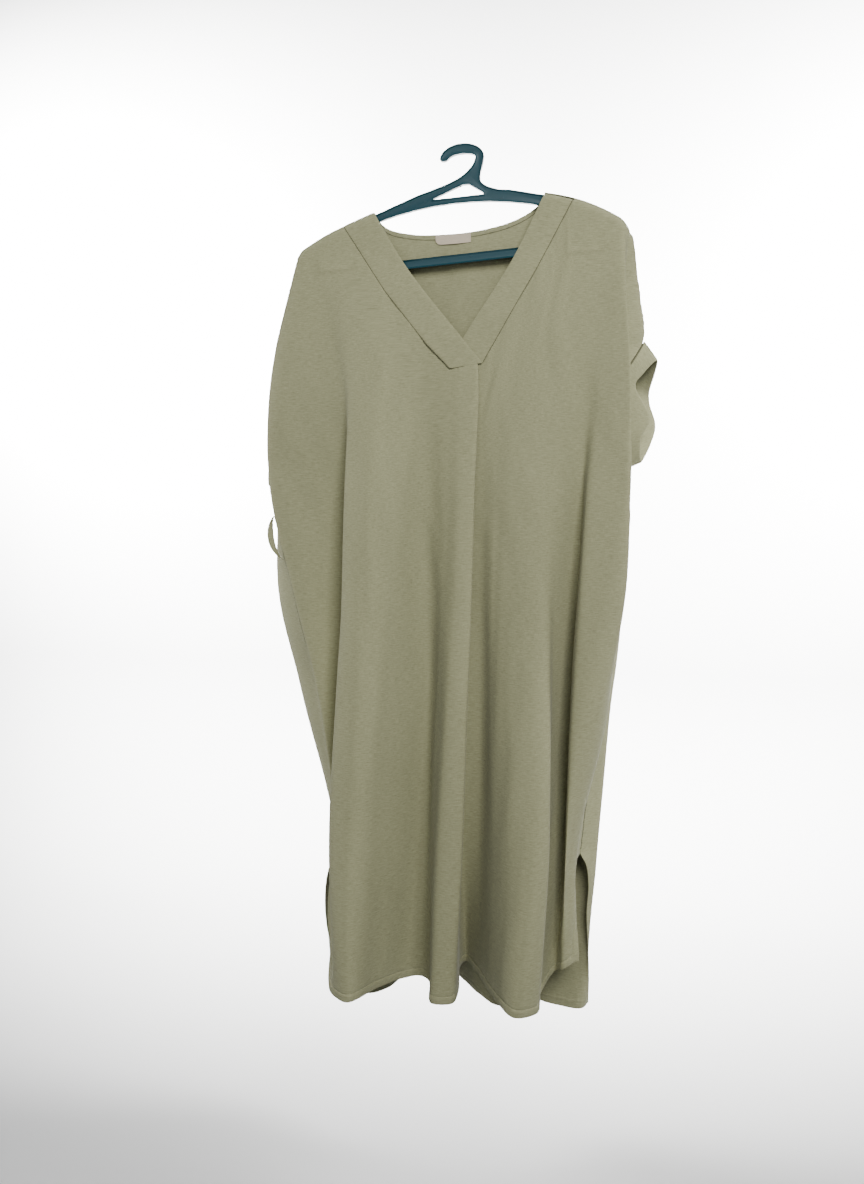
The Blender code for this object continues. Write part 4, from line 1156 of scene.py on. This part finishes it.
@dataclass
class NeckBinding:
    """The narrow binding of the back neck, from the back panel to the neck's edge."""

    form: DressForm
    back: Panel
    wall: float = 1.5 * MM
    seam_gap: float = 0.05 * MM
    end_columns: int = 3

    def build(self) -> bpy.types.Object:
        """The binding's wall, with a rounded upper edge.

        Returns:
            The new object.
        """
        left, right = self.form.neck_corners[Side.BACK]
        start = self.back.column_near(left) + self.end_columns
        end = self.back.column_near(right) - self.end_columns
        lower = self.back.middle[start:end + 1, 0].copy()
        upper = lower.copy()
        upper[:, 2] = np.minimum(self.form.neck_edge(lower[:, 0]), lower[:, 2] + self.form.binding)
        slope = np.gradient(lower[:, 2]) / np.gradient(lower[:, 0])
        lower[:, 2] += self.seam_gap * np.sqrt(1 + slope ** 2)
        share = np.array(BINDING_SHARES)
        grid = lower[:, None] * (1 - share[:, None]) + upper[:, None] * share[:, None]
        normals = np.zeros_like(grid)
        normals[..., 1] = 1.0
        normals[:, 0] = self.back.normals[start:end + 1, 0]
        wall = self.wall * (0.5 + 0.5 * np.sin(np.pi * np.clip(share, 0.04, 0.96)) ** 0.4)
        run = run_of(lower)
        LOG.info("neck_binding: %.4f square metres", Weaver.area(grid))
        cloth = plain_cloth(grid, normals, run[:, None], share[None, :] * self.form.binding)
        # The distance from the binding's seam; the cloth finish paints a thin line of shade along it.
        cloth.side = np.broadcast_to(share[None, :] * self.form.binding, grid.shape[:2])
        return Weaver.wall("neck_binding", cloth, wall[None, :])


@dataclass
class NeckLabel:
    """The bare neck label: a folded strip with one rounded lower corner."""

    form: DressForm
    back: Panel
    width: float = 47.0 * MM
    height: float = 12.0 * MM
    corner: float = 7.0 * MM
    middle: float = -12.0 * MM
    wall: float = 0.8 * MM
    stand: float = 1.6 * MM
    under_edge: float = 1.0 * MM
    bow: float = 0.5 * MM

    def build(self) -> bpy.types.Object:
        """The label's wall; its left edge runs in round the lower corner, a quarter circle.

        Returns:
            The new object.
        """
        down = np.linspace(0, 1, 18) ** 0.8 * self.height
        inside = np.clip(1 - (self.height - down) / self.corner, 0.0, 1.0)
        left = self.middle - self.width / 2 + self.corner * (1 - np.sqrt(1 - inside ** 2))
        right = self.middle + self.width / 2
        share = np.linspace(0, 1, 25)[:, None]
        x = left + (right - left) * share
        depth = self.back.middle[self.back.column_near(self.middle), 0, 1] - self.stand
        z = self.form.neck_edge(x) - self.under_edge - down
        grid = np.stack([x, depth - self.bow * np.sin(np.pi * share) * (down / self.height), z], -1)
        normals = Weaver.normals(grid, False, np.array([0.0, -1.0, 0.0]))
        LOG.info("label: %.5f square metres", Weaver.area(grid))
        return Weaver.wall("label", plain_cloth(grid, normals, x, down), self.wall)


@dataclass
class Cuff:
    """A sleeve band: a short tube from the sleeve's opening to its drawn free edge.

    edge holds the free edge's points (across, depth, height) in mm, one for each of the heights
    down the front and back up again.
    """

    name: str
    front: Panel
    back: Panel
    column: int
    heights: tuple[float, ...]
    edge: tuple[Place, ...]
    wall: float = 1.6 * MM
    seam_gap: float = 0.4 * MM
    puff: float = 0.3 * MM
    sewing: Sewing = Sewing(0.25 * MM, 9 * MM, 0.25, 0.0, 1.0)

    def build(self) -> bpy.types.Object:
        """The cuff's wall; the panels take its mitred normals along the seam.

        Returns:
            The new object.
        """
        front, back = self.front, self.back
        rows = front.sleeve_rows(self.heights[-1] * MM)
        rows_back = rows[1:-1][::-1]
        ring = np.concatenate([front.middle[self.column, rows], back.middle[self.column, rows_back]])
        sewn = np.concatenate([front.normals[self.column, rows], back.normals[self.column, rows_back]])
        knots = len(self.edge)
        down = np.interp(-ring[:, 2], -np.array(self.heights) * MM, np.arange(len(self.heights)))
        turn = np.where(np.arange(len(ring)) < len(rows), down, knots - down)
        drawn = np.array(self.edge, float) * MM
        free = self.round_curve(drawn, turn)
        share = np.array(CUFF_SHARES)
        tangent = unit(np.roll(ring, -1, 0) - np.roll(ring, 1, 0))
        away = free - ring
        away -= tangent * (away * tangent).sum(-1, keepdims=True)
        start = ring + unit(away) * self.seam_gap
        grid = start[:, None] * (1 - share[:, None]) + free[:, None] * share[:, None]
        normals = Weaver.normals(grid, True, grid - grid.mean((0, 1)))
        shared = unit(sewn + normals[:, 0])
        normals[:, 0] = shared
        front.normals[self.column, rows] = shared[:len(rows)]
        back.normals[self.column, rows] = np.concatenate([shared[:1], shared[len(rows) - 1:][::-1]])
        run = run_of(np.concatenate([ring, ring[:1]]))[:-1]
        grid = puffed(grid, normals, share, run, self.puff, self.sewing)
        width = np.linalg.norm(free - ring, axis=1)[:, None]
        LOG.info("%s: %.4f square metres", self.name, Weaver.area(grid, True))
        cloth = plain_cloth(grid, normals, share[None, :] * width, run[:, None])
        # The distance from the cuff's seam; the cloth finish paints a thin line of shade along it.
        cloth.side = share[None, :] * width
        return Weaver.wall(self.name, cloth, band_wall(self.wall, share)[None, :], closed=True)

    @staticmethod
    def round_curve(points: Array, turn: Array) -> Array:
        """A closed Catmull-Rom curve.

        Args:
            points: the drawn points, (n, 3).
            turn: parameters, one more at each point.

        Returns:
            The places there.
        """
        index = np.floor(turn).astype(int)
        t = (turn - index)[:, None]
        a, b, c, d = (points[(index + k) % len(points)] for k in (-1, 0, 1, 2))
        return b + 0.5 * t * (c - a + t * (2 * a - 5 * b + 4 * c - d + t * (3 * (b - c) + d - a)))


@dataclass
class BeltLoop:
    """A belt loop: a narrow strip tacked on the side seam at both ends and standing off between.

    upper, lower and bulge are in mm, twist, the turn at the middle, in radians.
    """

    name: str
    front: Panel
    sign: int
    upper: float
    lower: float
    bulge: float
    twist: float
    width: float = 9.0 * MM
    tack: float = 2.4 * MM
    stand: float = 1.6 * MM
    wall: float = 1.1 * MM
    rows: int = 45
    spread: tuple[float, ...] = (-0.5, -0.42, 0.0, 0.42, 0.5)
    edge_share: tuple[float, ...] = (0.45, 0.9, 1.0, 0.9, 0.45)

    def build(self) -> bpy.types.Object:
        """The loop's wall, wide and turned at its middle.

        It stands off by a root of a sine of its run, and its width grows by another.

        Returns:
            The new object.
        """
        column = 0 if self.sign < 0 else -1
        seam, outward = self.front.middle[column], self.front.normals[column]
        order = np.argsort(seam[:, 2])
        z = np.linspace(self.upper, self.lower, self.rows) * MM
        place = np.stack([np.interp(z, seam[order, 2], seam[order, k]) for k in range(3)], -1)
        out = unit(np.stack([np.interp(z, seam[order, 2], outward[order, k]) for k in range(3)], -1))
        share = np.linspace(0, 1, len(z))
        arch = np.sin(np.pi * share)
        path = place + out * (self.stand + self.bulge * MM * arch ** 0.6)[:, None]
        tangent = unit(np.gradient(path, axis=0))
        flat = unit(np.cross(out, tangent))
        turned = self.twist * arch
        width = flat * np.cos(turned)[:, None] + np.cross(tangent, flat) * np.sin(turned)[:, None]
        strip = self.tack + (self.width - self.tack) * arch ** 0.5
        spread = np.array(self.spread)
        grid = path[:, None] + width[:, None] * strip[:, None, None] * spread[None, :, None]
        normals = unit(np.cross(tangent, width))[:, None] * np.ones((1, len(spread), 1))
        wall = self.wall * np.array(self.edge_share)[None, :]
        run = run_of(path)
        LOG.info("%s: %.5f square metres", self.name, Weaver.area(grid))
        cloth = plain_cloth(grid, normals, spread[None, :] * self.width, run[:, None])
        return Weaver.wall(self.name, cloth, wall)


@dataclass
class Hanger:
    """The moulded hanger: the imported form, welded, with eased edges and its ejector marks."""

    edge_round: float = 0.45 * MM
    web: float = 1.1 * MM
    mark_radius: float = 1.5 * MM
    mark_height: float = 0.5 * MM
    mark_draft: float = 0.9
    weld: float = 0.02 * MM
    flat_angle: float = math.radians(2)
    sharp_angle: float = math.radians(35)
    shade_angle: float = math.radians(40)
    marks: tuple[Point, ...] = ((-47.9, -57.2), (-1.7, -39.6), (53.2, -56.4), (-52.0, -131.0),
                                (13.2, -127.6), (-104.0, -73.0), (120.0, -66.0))

    def build(self, node: bpy.types.Object) -> bpy.types.Object:
        """A copy of the node's form with rounded edges.

        Args:
            node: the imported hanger.

        Returns:
            The new object.
        """
        work = bmesh.new()
        work.from_mesh(node.data)
        bmesh.ops.remove_doubles(work, verts=work.verts, dist=self.weld)
        bmesh.ops.dissolve_limit(work, angle_limit=self.flat_angle, verts=work.verts, edges=work.edges)
        sharp = [edge for edge in work.edges
                 if len(edge.link_faces) == 2 and edge.calc_face_angle(0.0) > self.sharp_angle]
        bmesh.ops.bevel(work, geom=sharp, offset=self.edge_round, offset_type="OFFSET", segments=2,
                        profile=0.5, affect="EDGES", clamp_overlap=True)
        for x, z in self.marks:
            for side in (-1, 1):
                place = Matrix.Translation((x * MM, side * self.web, z * MM))
                bmesh.ops.create_cone(work, cap_ends=True, segments=20, radius1=self.mark_radius,
                                      radius2=self.mark_radius * self.mark_draft,
                                      depth=2 * self.mark_height,
                                      matrix=place @ Matrix.Rotation(-side * math.pi / 2, 4, "X"))
        mesh = bpy.data.meshes.new("hanger_moulding")
        work.to_mesh(mesh)
        work.free()
        mesh.shade_smooth()
        mesh.set_sharp_from_angle(angle=self.shade_angle)
        LOG.info("hanger: %d edges eased", len(sharp))
        result = bpy.data.objects.new("hanger_moulding", mesh)
        bpy.context.collection.objects.link(result)
        return result


Socket = bpy.types.NodeSocket


class NodeMaker:
    """Short calls for a material's nodes."""

    def __init__(self, name: str) -> None:
        """An empty material with a Principled shader.

        Args:
            name: the material's name.
        """
        self.material = bpy.data.materials.new(name)
        self.material.use_nodes = True
        self.tree = self.material.node_tree
        self.shader = self.tree.nodes["Principled BSDF"]

    def add(self, kind: str, **values: object) -> bpy.types.Node:
        """A node with its properties set.

        Args:
            kind: the node's type.
            values: its properties by name.

        Returns:
            The node.
        """
        node = self.tree.nodes.new(kind)
        for key, value in values.items():
            setattr(node, key, value)
        return node

    def join(self, start: Socket, end: Socket) -> None:
        """Links two sockets."""
        self.tree.links.new(start, end)

    def noise(self, vector: Socket, scale: Place, detail: float) -> Socket:
        """Stretched noise.

        Args:
            vector: where it is read.
            scale: waves per metre in each direction.
            detail: octaves.

        Returns:
            The noise from 0 to 1.
        """
        mapping = self.add("ShaderNodeMapping")
        mapping.inputs["Scale"].default_value = scale
        noise = self.add("ShaderNodeTexNoise")
        noise.inputs["Scale"].default_value = 1.0
        noise.inputs["Detail"].default_value = detail
        self.join(vector, mapping.inputs["Vector"])
        self.join(mapping.outputs["Vector"], noise.inputs["Vector"])
        return noise.outputs["Fac"]

    def ramp(self, value: Socket, low: Colour, high: Colour, spread: Point) -> Socket:
        """A colour that goes from low to high over the spread, and to a third of low at 0.

        Args:
            value: the position on the ramp.
            low: the colour at the spread's start.
            high: the colour at its end.
            spread: start and end.

        Returns:
            The colour.
        """
        ramp = self.add("ShaderNodeValToRGB")
        ramp.color_ramp.elements[0].position, ramp.color_ramp.elements[1].position = spread
        ramp.color_ramp.elements[0].color, ramp.color_ramp.elements[1].color = low, high
        shadow = ramp.color_ramp.elements.new(0.0)
        shadow.color = (*(0.3 * part for part in low[:3]), 1.0)
        self.join(value, ramp.inputs["Fac"])
        return ramp.outputs["Color"]

    def math(self, operation: str, first: Socket, second: Socket | float = 0.0) -> Socket:
        """One arithmetic step on a varying value.

        Args:
            operation: the Math node's operation.
            first: the varying value.
            second: another one, or a number.

        Returns:
            The result.
        """
        node = self.add("ShaderNodeMath", operation=operation)
        self.join(first, node.inputs[0])
        if isinstance(second, Socket):
            self.join(second, node.inputs[1])
        else:
            node.inputs[1].default_value = second
        return node.outputs[0]

    def bump(self, height: Socket, strength: float, distance: float) -> None:
        """Raises the surface in the shader.

        Args:
            height: the relief from 0 to 1.
            strength: its share.
            distance: its height in metres.
        """
        bump = self.add("ShaderNodeBump")
        bump.inputs["Strength"].default_value = strength
        bump.inputs["Distance"].default_value = distance
        self.join(height, bump.inputs["Height"])
        self.join(bump.outputs["Normal"], self.shader.inputs["Normal"])

    def set(self, **values: float | Colour) -> None:
        """Sets the shader's sockets; an underscore stands for a space in a socket's name."""
        for key, value in values.items():
            self.shader.inputs[key.replace("_", " ")].default_value = value


@dataclass(frozen=True)
class ClothFinish:
    """A matt plain weave with uneven weft threads.

    The thread coordinate is the mesh's own map "weave", in metres; "hem" is the distance from a
    stitched hem, "side" the one from a sewn seam. thread, slub, relief, stitch sizes and the width
    of the painted shade along a seam are in metres, streaks in waves per metre.
    """

    name: str
    deep: Colour
    light: Colour
    roughness: float = 0.92
    thread: float = 0.00042
    slub: float = 0.006
    relief: float = 0.00022
    stitch_row: float = 0.011
    stitch_length: float = 0.0028
    seam_line: float = 0.0013
    sheen: float = 0.12
    weft_share: float = 0.62
    warp_share: float = 0.26
    cloud_share: float = 0.12
    streak_share: float = 0.5
    # Painted shade: how much darker the cloth is drawn along a seam's line.
    seam_painted_shade: float = 0.35
    streaks: Place = (70.0, 900.0, 1.0)
    clouds: Place = (14.0, 9.0, 1.0)
    stitch_half: float = 0.00035
    stitch_part: float = 0.72
    stitch_sink: float = 0.8
    bump_strength: float = 0.55
    tones: Point = (0.32, 0.68)

    def material(self) -> bpy.types.Material:
        """The finish as a material.

        The grain is the weighted sum of weft, warp and cloud noise, and streaks about their
        middle. It sets the colour, with painted shade on a seam's line, and the relief, sunk at
        the stitches.

        Returns:
            The material.
        """
        maker = NodeMaker(self.name)
        weave = maker.add("ShaderNodeUVMap", uv_map="weave").outputs["UV"]
        weft = maker.noise(weave, (1 / self.slub, 1 / self.thread / 2, 1.0), 3.0)
        warp = maker.noise(weave, (1 / self.thread / 2, 1 / self.slub, 1.0), 2.0)
        cloud = maker.noise(weave, self.clouds, 2.0)
        grain = maker.math("ADD", maker.math("MULTIPLY", weft, self.weft_share),
                           maker.math("MULTIPLY", warp, self.warp_share))
        grain = maker.math("ADD", grain, maker.math("MULTIPLY", cloud, self.cloud_share))
        streak = maker.math("SUBTRACT", maker.noise(weave, self.streaks, 2.0), 0.5)
        grain = maker.math("ADD", grain, maker.math("MULTIPLY", streak, self.streak_share))
        # Painted shade: within seam_line of a sewn seam the tone drops, standing in for the seam's shadow.
        side = maker.add("ShaderNodeAttribute", attribute_name="side").outputs["Fac"]
        seam = maker.math("LESS_THAN", side, self.seam_line)
        tone = maker.math("SUBTRACT", grain, maker.math("MULTIPLY", seam, self.seam_painted_shade))
        maker.join(maker.ramp(tone, self.deep, self.light, self.tones), maker.shader.inputs["Base Color"])
        maker.set(Roughness=self.roughness, Specular_IOR_Level=0.2, Sheen_Weight=self.sheen,
                  Sheen_Roughness=0.5)
        sunk = maker.math("MULTIPLY", self.stitches(maker, weave), -self.stitch_sink)
        maker.bump(maker.math("ADD", grain, sunk), self.bump_strength, self.relief)
        return maker.material

    def stitches(self, maker: NodeMaker, weave: Socket) -> Socket:
        """A row of short stitches.

        Args:
            maker: the material's node maker.
            weave: the thread coordinate.

        Returns:
            1 where the hem distance is the row's and the run is in a stitch, 0 elsewhere.
        """
        hem = maker.add("ShaderNodeAttribute", attribute_name="hem").outputs["Fac"]
        off = maker.math("ABSOLUTE", maker.math("SUBTRACT", hem, self.stitch_row))
        row = maker.math("LESS_THAN", off, self.stitch_half)
        split = maker.add("ShaderNodeSeparateXYZ")
        maker.join(weave, split.inputs["Vector"])
        run = maker.math("ADD", split.outputs["X"], split.outputs["Y"])
        part = maker.math("FRACT", maker.math("MULTIPLY", run, 1 / self.stitch_length))
        return maker.math("MULTIPLY", row, maker.math("LESS_THAN", part, self.stitch_part))


@dataclass(frozen=True)
class PlasticFinish:
    """Smooth moulded plastic with a slight unevenness in its gloss."""

    name: str = "teal_plastic"
    colour: Colour = (0.007, 0.046, 0.060, 1.0)
    roughness: float = 0.36
    ripples: Place = (70.0, 70.0, 70.0)
    ripple_strength: float = 0.12
    ripple_height: float = 0.0004

    def material(self) -> bpy.types.Material:
        """The finish as a material.

        Returns:
            The material.
        """
        maker = NodeMaker(self.name)
        maker.set(Base_Color=self.colour, Roughness=self.roughness, Specular_IOR_Level=0.3)
        place = maker.add("ShaderNodeTexCoord").outputs["Object"]
        maker.bump(maker.noise(place, self.ripples, 2.0), self.ripple_strength, self.ripple_height)
        return maker.material


@dataclass(frozen=True)
class Lamp:
    """A soft square light: its place and aim in metres, its watts, side and beam in degrees."""

    name: str
    place: Place
    aim: Place
    power: float
    size: float
    beam: float = 180.0

    def build(self) -> None:
        """The light, turned from straight down to its aim."""
        data = bpy.data.lights.new(self.name, "AREA")
        data.energy, data.size, data.spread = self.power, self.size, math.radians(self.beam)
        lamp = bpy.data.objects.new(self.name, data)
        lamp.location = self.place
        way = np.array(self.aim) - np.array(self.place)
        lamp.rotation_euler = (math.atan2(math.hypot(way[0], way[1]), -way[2]), 0.0,
                               math.atan2(-way[0], way[1]))
        bpy.context.collection.objects.link(lamp)


@dataclass(frozen=True)
class Studio:
    """The photo's pale room, its soft light and its camera."""

    camera_place: Place = (0.1685, -1.356, -0.3805)
    turn: float = math.radians(8.7)
    pitch: float = math.atan(0.142)
    focal: float = 1000.0
    picture_height: float = 1184.0
    sensor: float = 36.0
    floor: float = -1.47
    floor_start: float = -4.0
    half_width: float = 5.0
    wall_depth: float = 1.3
    wall_top: float = 3.0
    cove: float = 0.5
    wall_colour: Colour = (0.86, 0.86, 0.85, 1.0)
    glow: float = 0.2
    air: Colour = (0.93, 0.96, 1.0, 1.0)
    air_strength: float = 0.22
    lamps: tuple[Lamp, ...] = (
        Lamp("key", (0.75, -1.8, 0.8), (0.0, 0.0, -0.35), 54.0, 0.9),
        Lamp("fill", (-0.6, -2.6, 0.2), (0.0, 0.0, -0.5), 10.0, 1.4),
        Lamp("wall left", (-1.6, 0.35, 0.4), (-0.7, 1.3, -0.3), 210.0, 1.0, 95.0),
        Lamp("wall right", (1.6, 0.35, 0.4), (0.7, 1.3, -0.3), 210.0, 1.0, 95.0))

    def build(self) -> None:
        """Camera, backdrop, lights and world."""
        self.camera()
        self.backdrop()
        for lamp in self.lamps:
            lamp.build()
        world = bpy.data.worlds.new("room")
        world.use_nodes = True
        shade = world.node_tree.nodes["Background"]
        shade.inputs["Color"].default_value = self.air
        shade.inputs["Strength"].default_value = self.air_strength
        bpy.context.scene.world = world

    def camera(self) -> None:
        """A camera at the photo's height, side and focal length, which is in its pixels."""
        data = bpy.data.cameras.new("camera")
        data.sensor_width = self.sensor
        data.lens = self.focal * self.sensor / self.picture_height
        data.clip_end = 60.0
        camera = bpy.data.objects.new("camera", data)
        camera.location = self.camera_place
        camera.rotation_euler = (math.pi / 2 - self.pitch, 0.0, self.turn)
        bpy.context.collection.objects.link(camera)
        bpy.context.scene.camera = camera

    def backdrop(self) -> None:
        """A pale floor that curves up into the wall by a quarter circle.

        It is clear from its back, so that it hides nothing when looked at from behind.
        """
        turn = np.linspace(0, np.pi / 2, 16)
        depth = self.wall_depth - self.cove + self.cove * np.sin(turn)
        height = self.floor + self.cove * (1 - np.cos(turn))
        profile = np.concatenate([[(self.floor_start, self.floor)], np.stack([depth, height], -1),
                                  [(self.wall_depth, self.wall_top)]])
        count = len(profile)
        sides = [np.column_stack([np.full(count, x), profile]) for x in (-self.half_width, self.half_width)]
        i = np.arange(count - 1)
        faces = np.stack([i, i + count, i + 1 + count, i + 1], -1)
        mesh = bpy.data.meshes.new("backdrop")
        mesh.from_pydata(np.concatenate(sides).tolist(), [], faces.tolist())
        mesh.shade_smooth()
        maker = NodeMaker("pale_wall")
        maker.set(Base_Color=self.wall_colour, Roughness=0.9, Emission_Color=(1.0, 1.0, 1.0, 1.0),
                  Emission_Strength=self.glow)
        facing, mix = maker.add("ShaderNodeNewGeometry"), maker.add("ShaderNodeMixShader")
        maker.join(facing.outputs["Backfacing"], mix.inputs[0])
        maker.join(maker.shader.outputs[0], mix.inputs[1])
        maker.join(maker.add("ShaderNodeBsdfTransparent").outputs[0], mix.inputs[2])
        maker.join(mix.outputs[0], maker.tree.nodes["Material Output"].inputs["Surface"])
        mesh.materials.append(maker.material)
        backdrop = bpy.data.objects.new("backdrop", mesh)
        bpy.context.collection.objects.link(backdrop)
        backdrop.visible_diffuse = False


# Free edges of the two sleeve bands, (across, depth, height) in mm.
LEFT_CUFF_EDGE = (
    (-256, 65, -261), (-261, 63, -283), (-264, 66, -306), (-267, 62, -341),
    (-277, 52, -376), (-280, 32, -407), (-279, 31, -432), (-274, 62, -411),
    (-261, 84, -378), (-250, 99, -338), (-247, 97, -302), (-253, 83, -282),
)
RIGHT_CUFF_EDGE = (
    (259, 36, -262), (240, 24, -281), (231, 20, -299), (252, 38, -337),
    (241, 38, -364), (244, 58, -396), (262, 78, -352), (253, 74, -318),
    (252, 66, -300), (257, 54, -281),
)


SAGE = ClothFinish("sage_cloth", (0.226, 0.224, 0.126, 1.0), (0.344, 0.341, 0.198, 1.0))
TAPE = ClothFinish("label_cloth", (0.50, 0.43, 0.33, 1.0), (0.60, 0.51, 0.38, 1.0), 0.85, sheen=0.0)


@dataclass
class Dress:
    """The whole dress on its hanger."""

    form: DressForm = field(default_factory=DressForm)

    def build(self) -> None:
        form = self.form
        front, back = Panel(form, Side.FRONT), Panel(form, Side.BACK)
        self.mitre(front, back)
        left_levels = SLEEVE_LEVELS + (LEFT_SLEEVE_END,)
        cuffs = [Cuff("left_cuff", front, back, 0, left_levels, LEFT_CUFF_EDGE).build(),
                 Cuff("right_cuff", front, back, -1, SLEEVE_LEVELS, RIGHT_CUFF_EDGE).build()]
        bands = [NeckBand(form, front, kind).build() for kind in Band]
        loops = [BeltLoop("left_loop", front, -1, -472.0, -533.0, 10.0, 1.35).build(),
                 BeltLoop("right_loop", front, 1, -445.0, -509.0, 6.0, 0.0).build()]
        binding, label = NeckBinding(form, back).build(), NeckLabel(form, back).build()
        front_piece, back_piece = front.build("front"), back.build("back")
        hanger = Hanger().build(bpy.data.objects["hanger"])
        sage, tape, plastic = SAGE.material(), TAPE.material(), PlasticFinish().material()
        for piece, node in ((front_piece, "front_panel"), (back_piece, "back_panel"),
                            (binding, "back_neck_binding"), (bands[0], "neck_band_over"),
                            (bands[1], "neck_band_under"), (cuffs[0], "cuff_left"),
                            (cuffs[1], "cuff_right"), (loops[0], "belt_loop_left"),
                            (loops[1], "belt_loop_right")):
            self.dress(piece, node, sage, "sage_cloth")
        self.dress(label, "neck_label", tape, "label_cloth")
        self.dress(hanger, "hanger", plastic, "teal_plastic")

    @staticmethod
    def mitre(front: Panel, back: Panel) -> None:
        """Gives front and back one shared normal wherever their edges meet.

        Args:
            front: the front panel.
            back: the back panel.
        """
        for column in (0, -1):
            alike = len(UNDER_EDGE) + len(front.levels)
            gap = np.linalg.norm(front.middle[column, :alike] - back.middle[column, :alike], axis=-1)
            rows = np.where(gap < 2 * MM)[0]
            shared = unit(front.normals[column, rows] + back.normals[column, rows])
            front.normals[column, rows] = shared
            back.normals[column, rows] = shared

    @staticmethod
    def dress(piece: bpy.types.Object, node: str, finish: bpy.types.Material, slot: str) -> None:
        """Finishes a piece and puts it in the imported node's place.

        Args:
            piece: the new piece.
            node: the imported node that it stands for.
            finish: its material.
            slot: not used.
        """
        piece.data.materials.clear()
        piece.data.materials.append(finish)
        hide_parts(node)
        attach(piece, "root")


def plain(corner: object) -> list[float]:
    """A corner as plain numbers."""
    return [float(value) for value in corner]


def main() -> None:
    """Builds the dress and its room."""
    logging.basicConfig(level=logging.INFO, format="%(message)s")
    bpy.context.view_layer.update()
    Dress().build()
    Studio().build()


if __name__ == "__main__":
    main()
